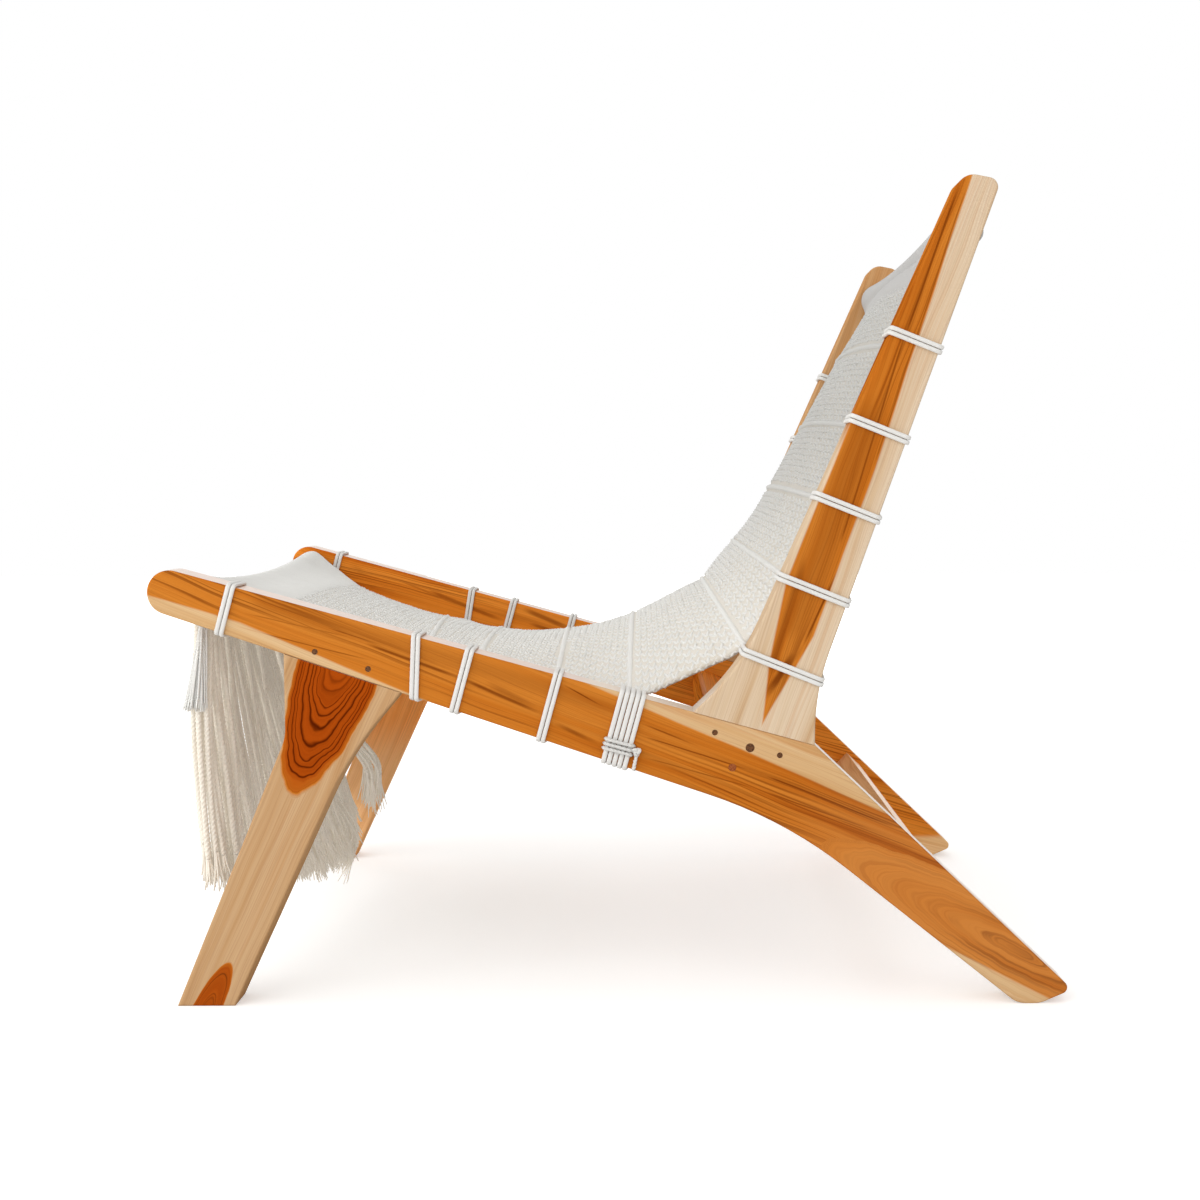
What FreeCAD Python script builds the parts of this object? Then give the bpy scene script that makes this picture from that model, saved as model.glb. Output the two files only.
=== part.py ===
import FreeCAD, Part
import math
import os

# Low lounge chair: two teak side frames, a knotted cotton sling laced between them, a fringe in front.
# X runs across (+X is the sitter's left), -Y is the front, Z is up from the floor.
# The origin is on the floor under the middle of the chair.

os.makedirs("parts", exist_ok=True)
V = FreeCAD.Vector

# Overall
frame_width = 625.0          # over the outer faces of the two side frames
plank = 38.0                 # thickness of every side-frame plank
plank_easing = 2.0           # rounding of the planks' long edges
flat_tolerance = 0.5         # an edge that moves less than this across lies on a plank's face
glue_gap = 0.1               # play of a tenon or peg in its hole, each side
soft_gap = 0.3               # play of cord and cloth beside wood or each other
overrun = 5.0                # how far a cutter passes the face that it opens

# Side rail and rear leg, one plank: corners as (y, z) with the radius that rounds each
nose_y = -420.0
nose_top_z = 407.3
nose_bottom_z = 366.4
nose_radius = 20.0
knee_y = 184.0
knee_z = 240.2
knee_radius = 1.0
rear_tip_y = 421.5
rear_tip_z = 12.8
rear_tip_radius = 6.0
sole_back_y = 392.0
sole_back_radius = 25.0
sole_front_y = 371.0
sole_front_radius = 22.0
belly_y = 156.7
belly_z = 171.4
belly_radius = 415.0

# Back post, standing on the rail
toe_y = 73.5
post_front_y = 116.9
post_front_z = 311.7
post_front_radius = 217.0
post_top_front_y = 313.5
post_top_front_z = 752.7
post_top_front_radius = 16.0
post_top_rear_y = 347.7
post_top_fall = 6.8          # from the top's front corner to its rear corner
post_top_rear_radius = 9.0
post_rear_z = 289.2
post_rear_radius = 225.0
post_tenon_front_y = 82.0
post_tenon_rear_y = 166.0
post_tenon_depth = 28.0

# Front leg, under the rail
leg_front_y = -297.5
leg_front_bend_z = 248.4
leg_front_bend_radius = 40.0
foot_front_y = -401.0
foot_rear_y = -348.0
leg_rear_bend_y = -241.0
leg_rear_bend_z = 230.0
leg_rear_bend_radius = 340.0
leg_rear_y = -191.7
leg_tenon_front_y = -285.0
leg_tenon_rear_y = -205.0
leg_tenon_depth = 30.0
tenon_thickness = 12.0

# Pegs, each centre as its y and its depth in from the rail's edge beside it
peg_radius = 2.6
peg_length = 30.0
leg_peg_front_y = -269.0
leg_peg_front_rise = 11.5
leg_peg_rear_y = -221.0
leg_peg_rear_rise = 12.0
post_peg_front_y = 93.0
post_peg_front_sink = 13.3
post_peg_middle_y = 125.0
post_peg_middle_sink = 18.5
post_peg_middle_radius = 4.0
post_peg_rear_y = 152.0
post_peg_rear_sink = 18.0

# Cross rail under the bend of the sling: corners along and below the side rail's top edge
cross_rail_y = 103.0
cross_rail_drop = 19.5
cross_rail_top = 27.0
cross_rail_top_fall = 4.0
cross_rail_depth = 37.0
cross_rail_bottom = 24.0
cross_rail_lean = 9.0
cross_rail_bulge = 10.0
housing_depth = 6.0
screw_along = 17.0           # screw centre from the cross rail's top front corner, along the rail
screw_below = 20.0           # and below it
screw_radius = 2.4
screw_head_radius = 3.2
screw_head_height = 3.0
screw_grip = 45.0            # shank length inside the cross rail
plug_radius = 3.5
plug_length = 9.0

# Stretcher between the rear legs: its face stands square to the leg
stretcher_y = 289.0
stretcher_inset = 6.0
stretcher_thickness = 22.0
stretcher_depth = 42.0
stretcher_tenon = 15.0
stretcher_shoulder = 5.0

# Bars that carry the sling, arched down towards the middle
front_bar_y = -394.0
front_bar_z = 376.0
front_bar_radius = 11.0
front_bar_dip = 11.0
top_bar_y = 320.0
top_bar_drop = 45.7          # below the post's top front corner
top_bar_radius = 11.0
top_bar_dip = 8.0
bar_tenon_radius = 9.0
bar_tenon_length = 20.0

# Cord rolls round the bars
front_roll_end_radius = 20.5
front_roll_middle_radius = 17.0
top_roll_end_radius = 20.0
top_roll_middle_radius = 20.0
roll_end_play = 2.0

# Sling
sling_thickness = 8.0
sling_drop = 36.0            # unit for how far the sling's edge hangs below the wood's edge
sling_crown = 58.0           # unit for how far the sling's middle stands above its edges
back_start_share = 0.2       # where the back's run starts, between the toe's and the knee's height
roll_cover_share = 0.5       # how far up the top roll the back's run ends
sling_free_inset = 22.0      # edge to the plank's inner face, between two laces

# Laces
cord_radius = 2.2
lace_pitch = 5.3
lace_turns = 2
bundle_turns = 5
left_lace_slant = 13.0       # how far the second lace leans back on its way down, to clear the leg
right_lace_slant = 24.0
right_lace_lead = 0.4        # how much further forward the right rail's laces sit, in sling rows

# Tie round the wide bundle
tie_radius = 2.0
tie_pitch = 4.2
tie_bead_radius = 4.5
tie_share = 0.68             # how far down the rail's face it lies
tie_count = 3

# Fringe
tress_count = 20
tress_set_back = 10.0        # how far behind the bar the tresses hang
tress_top_radius = 7.0
tress_middle_radius = 10.5
tress_end_radius = 12.0
tress_swell_share = 0.35     # of its length, where a tress has its middle radius
tress_flare_share = 0.75     # and from where it widens to its end
fringe_side_end_y = -374.0
fringe_side_end_z = 92.0
fringe_middle_end_y = -305.0
fringe_middle_end_z = 60.0
fringe_side_play = 14.0
fringe_belly = 5.0           # how far the tresses bow forward of a straight line
tuft_radius = 5.0
tuft_end_radius = 6.0
tuft_length = 90.0
tuft_set_back = 13.0
tuft_sweep = 14.0
tuft_inset = 8.0             # tuft centre to the plank's inner face

# Derived places
half_width = 0.5 * frame_width
post_top_rear_z = post_top_front_z - post_top_fall
top_bar_z = post_top_front_z - top_bar_drop
inner_x = half_width - plank
lace_corner = cord_radius + plank_easing + soft_gap
sling_laced_inset = 2 * soft_gap + cord_radius + lace_corner + 2 * cord_radius


# Plain geometry in the side plane, where a point is (y, z)

def line_z(first, last, y):
    """Height at y of the straight line through two points."""
    return first[1] + (last[1] - first[1]) * (y - first[0]) / (last[0] - first[0])


def unit(first, last):
    length = math.hypot(last[0] - first[0], last[1] - first[1])
    return ((last[0] - first[0]) / length, (last[1] - first[1]) / length)


def left_of(direction):
    """The direction turned a quarter turn anticlockwise."""
    return (-direction[1], direction[0])


def moved(point, direction, distance):
    return (point[0] + direction[0] * distance, point[1] + direction[1] * distance)


def side_vector(point, x):
    return V(x, point[0], point[1])


def rounded_outline(corners, x):
    """Closed wire at x through corners (y, z, radius), each corner an arc tangent to both sides."""
    count = len(corners)
    stretches = []
    for i in range(count):
        here = side_vector(corners[i], x)
        back = (side_vector(corners[i - 1], x) - here).normalize()
        ahead = (side_vector(corners[(i + 1) % count], x) - here).normalize()
        radius = corners[i][2]
        half_angle = 0.5 * back.getAngle(ahead)
        reach = radius / math.tan(half_angle)
        middle = (back + ahead).normalize() * (radius / math.sin(half_angle) - radius)
        stretches.append((here + back * reach, here + middle, here + ahead * reach, radius))
    edges = []
    for i in range(count):
        start, middle, end, radius = stretches[i]
        if radius > 0:
            edges.append(Part.Arc(start, middle, end).toShape())
        edges.append(Part.LineSegment(end, stretches[(i + 1) % count][0]).toShape())
    return Part.Wire(edges)


def sharp(points):
    return [(point[0], point[1], 0) for point in points]


def side_prism(corners, x_from, x_to):
    """Solid between two X planes over a rounded outline in the side plane."""
    face = Part.Face(rounded_outline(corners, x_from))
    return face.extrude(V(x_to - x_from, 0, 0))


def rod(point, radius, x_from, x_to):
    return Part.makeCylinder(radius, x_to - x_from, side_vector(point, x_from), V(1, 0, 0))


def eased(solid, keep_sharp):
    """Round the long edges on both faces of a plank, except where keep_sharp says a joint lies."""
    edges = []
    for edge in solid.Edges:
        box = edge.BoundBox
        on_face = box.XLength < flat_tolerance
        middle = edge.valueAt(0.5 * (edge.FirstParameter + edge.LastParameter))
        if on_face and not keep_sharp((middle.y, middle.z)):
            edges.append(edge)
    return solid.makeFillet(plank_easing, edges)


def both_sides(name, solid):
    """Write the left piece and its mirror image on the right."""
    save("left_" + name, solid)
    save("right_" + name, solid.mirror(V(0, 0, 0), V(1, 0, 0)))


def save(name, shape):
    shape.exportStep("parts/" + name + ".step")
    print(name, "solids", len(shape.Solids), "valid", shape.isValid(), "volume", round(shape.Volume))


# Lines of the side frame that other pieces follow

nose_top = (nose_y, nose_top_z)
nose_bottom = (nose_y, nose_bottom_z)
knee = (knee_y, knee_z)
rear_tip = (rear_tip_y, rear_tip_z)
belly = (belly_y, belly_z)
post_front = (post_front_y, post_front_z)
post_top_front = (post_top_front_y, post_top_front_z)
post_top_rear = (post_top_rear_y, post_top_rear_z)
post_rear = (knee_y, post_rear_z)


def rail_top(y):
    return line_z(nose_top, knee, y)


def rail_bottom(y):
    return line_z(nose_bottom, belly, y)


rail_along = unit(nose_top, knee)
rail_up = left_of(rail_along)
post_along = unit(post_front, post_top_front)
post_forward = left_of(post_along)
rear_along = unit(knee, rear_tip)
rear_up = left_of(rear_along)
post_rear_along = unit(post_rear, post_top_rear)
post_middle_along = unit((0, 0), (post_along[0] + post_rear_along[0], post_along[1] + post_rear_along[1]))
post_across = left_of(post_middle_along)


# Outlines of the three planks

rail_corners = [
    (nose_y, nose_top_z, nose_radius),
    (knee_y, knee_z, knee_radius),
    (rear_tip_y, rear_tip_z, rear_tip_radius),
    (sole_back_y, 0, sole_back_radius),
    (sole_front_y, 0, sole_front_radius),
    (belly_y, belly_z, belly_radius),
    (nose_y, nose_bottom_z, nose_radius),
]
post_corners = [
    (toe_y, rail_top(toe_y), 0),
    (post_front_y, post_front_z, post_front_radius),
    (post_top_front_y, post_top_front_z, post_top_front_radius),
    (post_top_rear_y, post_top_rear_z, post_top_rear_radius),
    (knee_y, post_rear_z, post_rear_radius),
    (knee_y, rail_top(knee_y), 0),
]
leg_corners = [
    (leg_front_y, rail_bottom(leg_front_y), 0),
    (leg_front_y, leg_front_bend_z, leg_front_bend_radius),
    (foot_front_y, 0, 0),
    (foot_rear_y, 0, 0),
    (leg_rear_bend_y, leg_rear_bend_z, leg_rear_bend_radius),
    (leg_rear_y, rail_bottom(leg_rear_y), 0),
]


# Tenons, drawn on the rail's edges so that they follow its slope

def tenon_corners(edge_height, y_front, y_rear, depth, play):
    """Four corners of a tenon that runs depth (up if positive) from the edge it stands on."""
    reach = depth + math.copysign(play, depth)
    root = -math.copysign(overrun, depth) if play else 0
    return sharp([
        (y_front - play, edge_height(y_front - play) + root),
        (y_rear + play, edge_height(y_rear + play) + root),
        (y_rear + play, edge_height(y_rear + play) + reach),
        (y_front - play, edge_height(y_front - play) + reach),
    ])


def tenon_solid(edge_height, y_front, y_rear, depth, play):
    middle_x = half_width - 0.5 * plank
    reach = 0.5 * tenon_thickness + play
    return side_prism(tenon_corners(edge_height, y_front, y_rear, depth, play),
                      middle_x - reach, middle_x + reach)


leg_tenon = (rail_bottom, leg_tenon_front_y, leg_tenon_rear_y, leg_tenon_depth)
post_tenon = (rail_top, post_tenon_front_y, post_tenon_rear_y, -post_tenon_depth)


# Pegs through the rail's outer face into the tenons

leg_pegs = [
    ((leg_peg_front_y, rail_bottom(leg_peg_front_y) + leg_peg_front_rise), peg_radius),
    ((leg_peg_rear_y, rail_bottom(leg_peg_rear_y) + leg_peg_rear_rise), peg_radius),
]
post_pegs = [
    ((post_peg_front_y, rail_top(post_peg_front_y) - post_peg_front_sink), peg_radius),
    ((post_peg_middle_y, rail_top(post_peg_middle_y) - post_peg_middle_sink), post_peg_middle_radius),
    ((post_peg_rear_y, rail_top(post_peg_rear_y) - post_peg_rear_sink), peg_radius),
]


def peg_solids(pegs, play):
    """Round pegs whose outer ends are flush with the rail's outer face; holes run past it."""
    outer = half_width + (overrun if play else 0)
    return [rod(place, radius + play, half_width - peg_length - play, outer) for place, radius in pegs]


# Cross rail, its screw and plug

cross_corner = moved((cross_rail_y, rail_top(cross_rail_y)), rail_up, -cross_rail_drop)


def on_cross_rail(along, up):
    return moved(moved(cross_corner, rail_along, along), rail_up, up)


def cross_rail_wire(x, play):
    """Section of the cross rail: flat top, back and underside, and a convex front."""
    top_front = on_cross_rail(-play, play)
    top_rear = on_cross_rail(cross_rail_top + play, play - cross_rail_top_fall)
    bottom_rear = on_cross_rail(cross_rail_lean + cross_rail_bottom + play, -cross_rail_depth - play)
    bottom_front = on_cross_rail(cross_rail_lean - play, -cross_rail_depth - play)
    front = on_cross_rail(0.5 * cross_rail_lean - cross_rail_bulge - play, -0.5 * cross_rail_depth)
    corners = [side_vector(point, x) for point in (top_front, top_rear, bottom_rear, bottom_front)]
    edges = [Part.LineSegment(corners[i], corners[i + 1]).toShape() for i in range(3)]
    edges.append(Part.Arc(corners[3], side_vector(front, x), corners[0]).toShape())
    return Part.Wire(edges)


def cross_rail_solid(play):
    end = inner_x + housing_depth + play
    return Part.Face(cross_rail_wire(-end, play)).extrude(V(2 * end, 0, 0))


screw_place = on_cross_rail(screw_along, -screw_below)
screw_end = inner_x - screw_grip
head_x = half_width - plug_length - screw_head_height


def screw_solid(play):
    shank = rod(screw_place, screw_radius + play, screw_end - play, head_x + screw_head_height)
    head = rod(screw_place, screw_head_radius + play, head_x, half_width - plug_length)
    return shank.fuse(head)


def plug_solid(play):
    outer = half_width + (overrun if play else 0)
    return rod(screw_place, plug_radius + play, half_width - plug_length, outer)


# Rear stretcher

stretcher_corner = moved((stretcher_y, line_z(knee, rear_tip, stretcher_y)), rear_up, -stretcher_inset)


def stretcher_section(along_from, along_to, up_from, up_to):
    places = [(along_from, up_to), (along_to, up_to), (along_to, up_from), (along_from, up_from)]
    return sharp([moved(moved(stretcher_corner, rear_along, a), rear_up, u) for a, u in places])


def stretcher_tenon_bar(play):
    end = inner_x + stretcher_tenon + play
    return side_prism(stretcher_section(
        stretcher_shoulder - play, stretcher_thickness - stretcher_shoulder + play,
        stretcher_shoulder - stretcher_depth - play, play - stretcher_shoulder), -end, end)


# Bars and the cord rolls on them

def arch_drop(x, dip, half_span):
    """How far a bar that dips by dip at its middle lies below its ends, at x."""
    bend = (half_span * half_span + dip * dip) / (2 * dip)
    return dip - (bend - math.sqrt(bend * bend - x * x))


def arched_rod(y, z, radius, dip):
    """Round rod bent to an arc that passes the ends' height at the planks' inner faces."""
    bend = (inner_x * inner_x + dip * dip) / (2 * dip)
    centre = V(0, y, z - dip + bend)
    spread = math.degrees(math.asin((inner_x + overrun) / bend))
    disc = Part.Face(Part.Wire(Part.makeCircle(radius, V(0, y, z - dip), V(1, 0, 0))))
    disc.rotate(centre, V(0, 1, 0), -spread)
    rod_solid = disc.revolve(centre, V(0, 1, 0), 2 * spread)
    side = 4 * dip + 4 * radius
    box = Part.makeBox(2 * inner_x, side, side, V(-inner_x, y - 0.5 * side, z - 0.5 * side))
    return rod_solid.common(box)


def bar_solid(y, z, radius, dip):
    end = inner_x + bar_tenon_length
    left_end = rod((y, z), bar_tenon_radius, inner_x - bar_tenon_length, end)
    right_end = rod((y, z), bar_tenon_radius, -end, bar_tenon_length - inner_x)
    return arched_rod(y, z, radius, dip).fuse([left_end, right_end]).removeSplitter()


def bar_socket(y, z):
    return rod((y, z), bar_tenon_radius + glue_gap, inner_x - overrun,
               inner_x + bar_tenon_length + glue_gap)


def three_arc_circle(centre, radius, across, up):
    """Circle as three arcs, round centre in the plane of two square directions."""
    def at(turn):
        angle = 2 * math.pi * turn
        return centre + across * (radius * math.cos(angle)) + up * (radius * math.sin(angle))
    arcs = [Part.Arc(at(i / 3), at((i + 0.5) / 3), at((i + 1) / 3)).toShape() for i in range(3)]
    return Part.Wire(arcs)


def roll_radius(x, end_radius, middle_radius):
    share = x / inner_x
    return middle_radius + (end_radius - middle_radius) * share * share


roll_stations = 9


def roll_solid(y, z, dip, end_radius, middle_radius):
    half_span = inner_x - roll_end_play
    sections = []
    for i in range(roll_stations):
        x = half_span * (2 * i / (roll_stations - 1) - 1)
        centre = V(x, y, z - arch_drop(x, dip, inner_x))
        radius = roll_radius(x, end_radius, middle_radius)
        sections.append(three_arc_circle(centre, radius, V(0, 1, 0), V(0, 0, 1)))
    return Part.makeLoft(sections, True)


# Sling: its edge runs below the rails and behind the posts, its middle stands proud at the bend.
# Each row: which plank the shares follow, how far along it, the edge's lift off the wood's edge,
# how far the cross section has turned from the seat's to the back's lean, crown, slack to the side.

seat_start = (front_bar_y, rail_top(front_bar_y))
seat_run = (toe_y - front_bar_y) / rail_along[0]


def post_front_line_y(z):
    return post_front_y + (z - post_front_z) * post_along[0] / post_along[1]


back_start_z = rail_top(toe_y) - (rail_top(toe_y) - rail_top(knee_y)) * back_start_share
back_start = (post_front_line_y(back_start_z), back_start_z)
back_run = (top_bar_z - back_start_z) / post_along[1] + top_roll_end_radius * roll_cover_share

sling_shares = [
    ("seat", 0.030, -0.24, 0.00, -0.18, 0.30),
    ("seat", 0.108, -0.62, 0.00, 0.08, 0.00),
    ("seat", 0.190, -0.85, 0.00, 0.19, 0.80),
    ("seat", 0.280, -0.98, 0.00, 0.25, 1.00),
    ("seat", 0.375, -1.05, 0.00, 0.28, 0.90),
    ("seat", 0.463, -1.00, 0.00, 0.30, 0.00),
    ("seat", 0.515, -1.02, 0.00, 0.34, 0.50),
    ("seat", 0.567, -0.99, 0.00, 0.41, 0.00),
    ("seat", 0.652, -0.95, 0.00, 0.57, 0.90),
    ("seat", 0.737, -0.87, 0.05, 0.79, 0.00),
    ("seat", 0.808, -0.70, 0.10, 0.96, 0.70),
    ("seat", 0.880, -0.26, 0.18, 1.03, 0.00),
    ("seat", 0.950, 0.47, 0.29, 1.02, 0.90),
    ("seat", 1.015, 1.21, 0.43, 1.01, 0.90),
    ("back", 0.137, 0.02, 0.60, 1.00, 0.00),
    ("back", 0.212, -0.14, 0.75, 0.90, 0.80),
    ("back", 0.287, -0.20, 0.87, 0.75, 0.00),
    ("back", 0.367, -0.22, 0.95, 0.60, 1.00),
    ("back", 0.447, -0.24, 1.00, 0.53, 0.00),
    ("back", 0.524, -0.32, 1.00, 0.52, 1.00),
    ("back", 0.601, -0.42, 1.00, 0.53, 0.00),
    ("back", 0.688, -0.52, 1.00, 0.54, 1.00),
    ("back", 0.774, -0.60, 1.00, 0.52, 0.00),
    ("back", 0.848, -0.61, 1.00, 0.44, 0.60),
    ("back", 0.920, -0.53, 1.00, 0.30, 0.40),
    ("back", 0.985, -0.33, 1.00, 0.07, 0.30),
]
seat_lace_rows = [1, 5, 7, 9, 11]
back_lace_rows = [14, 16, 18, 20, 22]
bundle_row = seat_lace_rows[-1]
slanted_row = seat_lace_rows[1]
sling_steps = 3              # cross sections from one row to the next
seat_lean_angle = math.atan2(rail_up[1], rail_up[0])
back_lean_angle = math.atan2(post_forward[1], post_forward[0])


def sling_edge(row):
    """Top of the sling's edge at a row, and the direction in which the sling is thick there."""
    plank_name, run_share, lift_share, turn_share = row[:4]
    if plank_name == "seat":
        foot = moved(seat_start, rail_along, run_share * seat_run)
        place = moved(foot, rail_up, lift_share * sling_drop)
    else:
        foot = moved(back_start, post_along, run_share * back_run)
        place = moved(foot, post_forward, lift_share * sling_drop)
    angle = seat_lean_angle + turn_share * (back_lean_angle - seat_lean_angle)
    return place, (math.cos(angle), math.sin(angle))


def sling_measures(row):
    """A row as plain measures: edge y and z, angle of the thickness, crown, and half width."""
    edge, outward = sling_edge(row)
    crown_share, slack_share = row[4:]
    inset = sling_laced_inset + slack_share * (sling_free_inset - sling_laced_inset)
    return edge + (math.atan2(outward[1], outward[0]), crown_share * sling_crown, inner_x - inset)


sling_rows = [sling_measures(row) for row in sling_shares]
last_row = len(sling_rows) - 1


def sling_at(place):
    """Measures at a place counted in rows from the front, on the cubic curve that passes every row."""
    index = min(int(place), last_row - 1)
    t = place - index
    neighbours = [sling_rows[min(max(index + step, 0), last_row)] for step in (-1, 0, 1, 2)]
    return [b + 0.5 * t * (c - a + t * (2 * a - 5 * b + 4 * c - d + t * (3 * (b - c) + d - a)))
            for a, b, c, d in zip(*neighbours)]


def right_lead(place):
    """How many rows the right edge is ahead of the left one; it fades out up to the wide bundle."""
    fade = (bundle_row - place) / (bundle_row - seat_lace_rows[-2])
    return right_lace_lead * min(max(fade, 0), 1)


def sling_section(place):
    """Closed section of two arcs, over and under, and two short sides."""
    measures = sling_at(place)
    edge = (measures[0], measures[1])
    outward = (math.cos(measures[2]), math.sin(measures[2]))
    widest = inner_x - sling_laced_inset
    left_x = min(measures[4], widest)
    right_x = -min(sling_at(place + right_lead(place))[4], widest)
    middle = moved(edge, outward, measures[3])
    under_edge = moved(edge, outward, -sling_thickness)
    under_middle = moved(middle, outward, -sling_thickness)
    over = Part.Arc(side_vector(edge, right_x), side_vector(middle, 0), side_vector(edge, left_x))
    under = Part.Arc(side_vector(under_edge, left_x), side_vector(under_middle, 0),
                     side_vector(under_edge, right_x))
    return Part.Wire([
        over.toShape(),
        Part.LineSegment(side_vector(edge, left_x), side_vector(under_edge, left_x)).toShape(),
        under.toShape(),
        Part.LineSegment(side_vector(under_edge, right_x), side_vector(edge, right_x)).toShape(),
    ])


def sling_solid():
    """The knotted panel and the cord rolls at its two ends, in one piece, open where the bars lie."""
    places = [step / sling_steps for step in range(last_row * sling_steps + 1)]
    panel = Part.makeLoft([sling_section(place) for place in places], True, True)
    front = roll_solid(front_bar_y, front_bar_z, front_bar_dip,
                       front_roll_end_radius, front_roll_middle_radius)
    top = roll_solid(top_bar_y, top_bar_z, top_bar_dip, top_roll_end_radius, top_roll_middle_radius)
    bores = [
        arched_rod(front_bar_y, front_bar_z, front_bar_radius + soft_gap, front_bar_dip),
        arched_rod(top_bar_y, top_bar_z, top_bar_radius + soft_gap, top_bar_dip),
    ]
    return panel.fuse([front, top]).cut(bores)


# Laces: one unbroken cord each, from the sling's edge round the plank and back to the edge

def rounded_path(points, radius):
    """Wire of straight runs joined by tangent arcs of one radius."""
    edges = []
    start = points[0]
    for i in range(1, len(points) - 1):
        back = (points[i - 1] - points[i]).normalize()
        ahead = (points[i + 1] - points[i]).normalize()
        half_angle = 0.5 * back.getAngle(ahead)
        reach = radius / math.tan(half_angle)
        middle = (back + ahead).normalize() * (radius / math.sin(half_angle) - radius)
        edges.append(Part.LineSegment(start, points[i] + back * reach).toShape())
        edges.append(Part.Arc(points[i] + back * reach, points[i] + middle,
                              points[i] + ahead * reach).toShape())
        start = points[i] + ahead * reach
    edges.append(Part.LineSegment(start, points[-1]).toShape())
    return Part.Wire(edges)


def plank_span(outline, place, across):
    """Where the straight line through a place, in the direction across, crosses a plank's outline."""
    reach = frame_width
    probe = Part.LineSegment(side_vector(moved(place, across, -reach), inner_x),
                             side_vector(moved(place, across, reach), inner_x)).toShape()
    inside = probe.common(Part.Face(rounded_outline(outline, inner_x)))
    heights = [(point.Point.y - place[0]) * across[0] + (point.Point.z - place[1]) * across[1]
               for point in inside.Vertexes]
    return min(heights), max(heights)


def lace_tie(place):
    """The middle of the sling's edge, at a place counted in rows."""
    y, z, angle = sling_at(place)[:3]
    return moved((y, z), (math.cos(angle), math.sin(angle)), -0.5 * sling_thickness)


def lace_points(outline, place, across, turns, lean):
    """Corner points of a lace: u runs across the plank from where the sling is tied, v along the plank.
    The lace shifts along the plank by lean from its top to its bottom."""
    tie = lace_tie(place)
    along = (across[1], -across[0])
    stand_off = cord_radius + soft_gap
    near_x = inner_x - stand_off
    far_x = half_width + stand_off
    sling_x = inner_x - sling_laced_inset + soft_gap

    def at(x, u, v):
        return side_vector(moved(moved(tie, across, u), along, v), x)

    def top(x, v):
        return at(x, plank_span(outline, moved(tie, along, v), across)[1] + stand_off, v)

    def bottom(x, v):
        return at(x, plank_span(outline, moved(tie, along, v + lean), across)[0] - stand_off, v + lean)

    low, high = plank_span(outline, tie, across)
    tie_u = min(0, high - 2 * lace_corner)
    tie_shift = lean * (high + stand_off - tie_u) / (high - low + 2 * stand_off)
    first_v = -0.5 * (turns - 1) * lace_pitch
    last_v = first_v + turns * lace_pitch
    points = [at(sling_x, tie_u, first_v + tie_shift), at(near_x, tie_u, first_v + tie_shift)]
    for i in range(turns):
        v = first_v + i * lace_pitch
        points += [top(near_x, v), top(far_x, v), bottom(far_x, v), bottom(near_x, v + lace_pitch)]
    return points + [at(near_x, tie_u, last_v + tie_shift), at(sling_x, tie_u, last_v + tie_shift)]


def least_gap(wire):
    """Least distance between two stretches of one cord, skin to skin, measured on points."""
    spacing = 0.5 * cord_radius
    points = wire.discretize(Distance=spacing)
    apart = int(2 * math.pi * lace_corner / spacing)
    least = wire.Length
    for i in range(len(points)):
        for j in range(i + apart, len(points)):
            least = min(least, (points[i] - points[j]).Length)
    return least - 2 * cord_radius


def lace_solid(name, outline, place, across, turns, lean):
    path = rounded_path(lace_points(outline, place, across, turns, lean), lace_corner)
    start = path.Edges[0].Vertexes[0].Point
    circle = Part.Wire(Part.makeCircle(cord_radius, start, V(1, 0, 0)))
    tube = path.makePipeShell([circle], True, False)
    expected = math.pi * cord_radius * cord_radius * path.Length
    print(name, "least gap", round(least_gap(path), 2), "length", round(path.Length),
          "volume share", round(tube.Volume / expected, 4))
    return tube


def make_laces():
    """Cords of the seat, which sit further forward on the right, and of the back, which mirror."""
    for number, row in enumerate(seat_lace_rows, 1):
        turns = bundle_turns if row == bundle_row else lace_turns
        slants = (left_lace_slant, right_lace_slant) if row == slanted_row else (0, 0)
        left = "left_seat_lace_" + str(number)
        right = "right_seat_lace_" + str(number)
        save(left, lace_solid(left, rail_corners, row, rail_up, turns, slants[0]))
        mirrored = lace_solid(right, rail_corners, row - right_lead(row), rail_up, turns, slants[1])
        save(right, mirrored.mirror(V(0, 0, 0), V(1, 0, 0)))
    for number, row in enumerate(back_lace_rows, 1):
        name = "back_lace_" + str(number)
        both_sides(name, lace_solid(name, post_corners, row, post_across, lace_turns, 0))


def bundle_tie():
    """Three short wraps across the bundle on the rail's outer face, and the small knot beside them."""
    tie = lace_tie(bundle_row)
    low, high = plank_span(rail_corners, tie, rail_up)
    level = moved(tie, rail_up, high + tie_share * (low - high))
    half_bundle = 0.5 * (bundle_turns - 1) * lace_pitch + cord_radius
    bead_v = half_bundle + tie_bead_radius + 2 * soft_gap
    x = half_width + 2 * soft_gap + 2 * cord_radius + tie_radius
    axis = V(0, rail_along[0], rail_along[1])
    pieces = []
    for i in range(tie_count):
        start = moved(moved(level, rail_up, -i * tie_pitch), rail_along, -half_bundle)
        pieces.append(Part.makeCylinder(tie_radius, 2 * half_bundle, side_vector(start, x), axis))
    bead_place = moved(moved(level, rail_up, -0.5 * (tie_count - 1) * tie_pitch), rail_along, bead_v)
    bead_x = half_width + soft_gap + tie_bead_radius
    pieces.append(Part.makeSphere(tie_bead_radius, side_vector(bead_place, bead_x)))
    return Part.makeCompound(pieces)


# Fringe: tapered tresses that hang from the underside of the front roll

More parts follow.
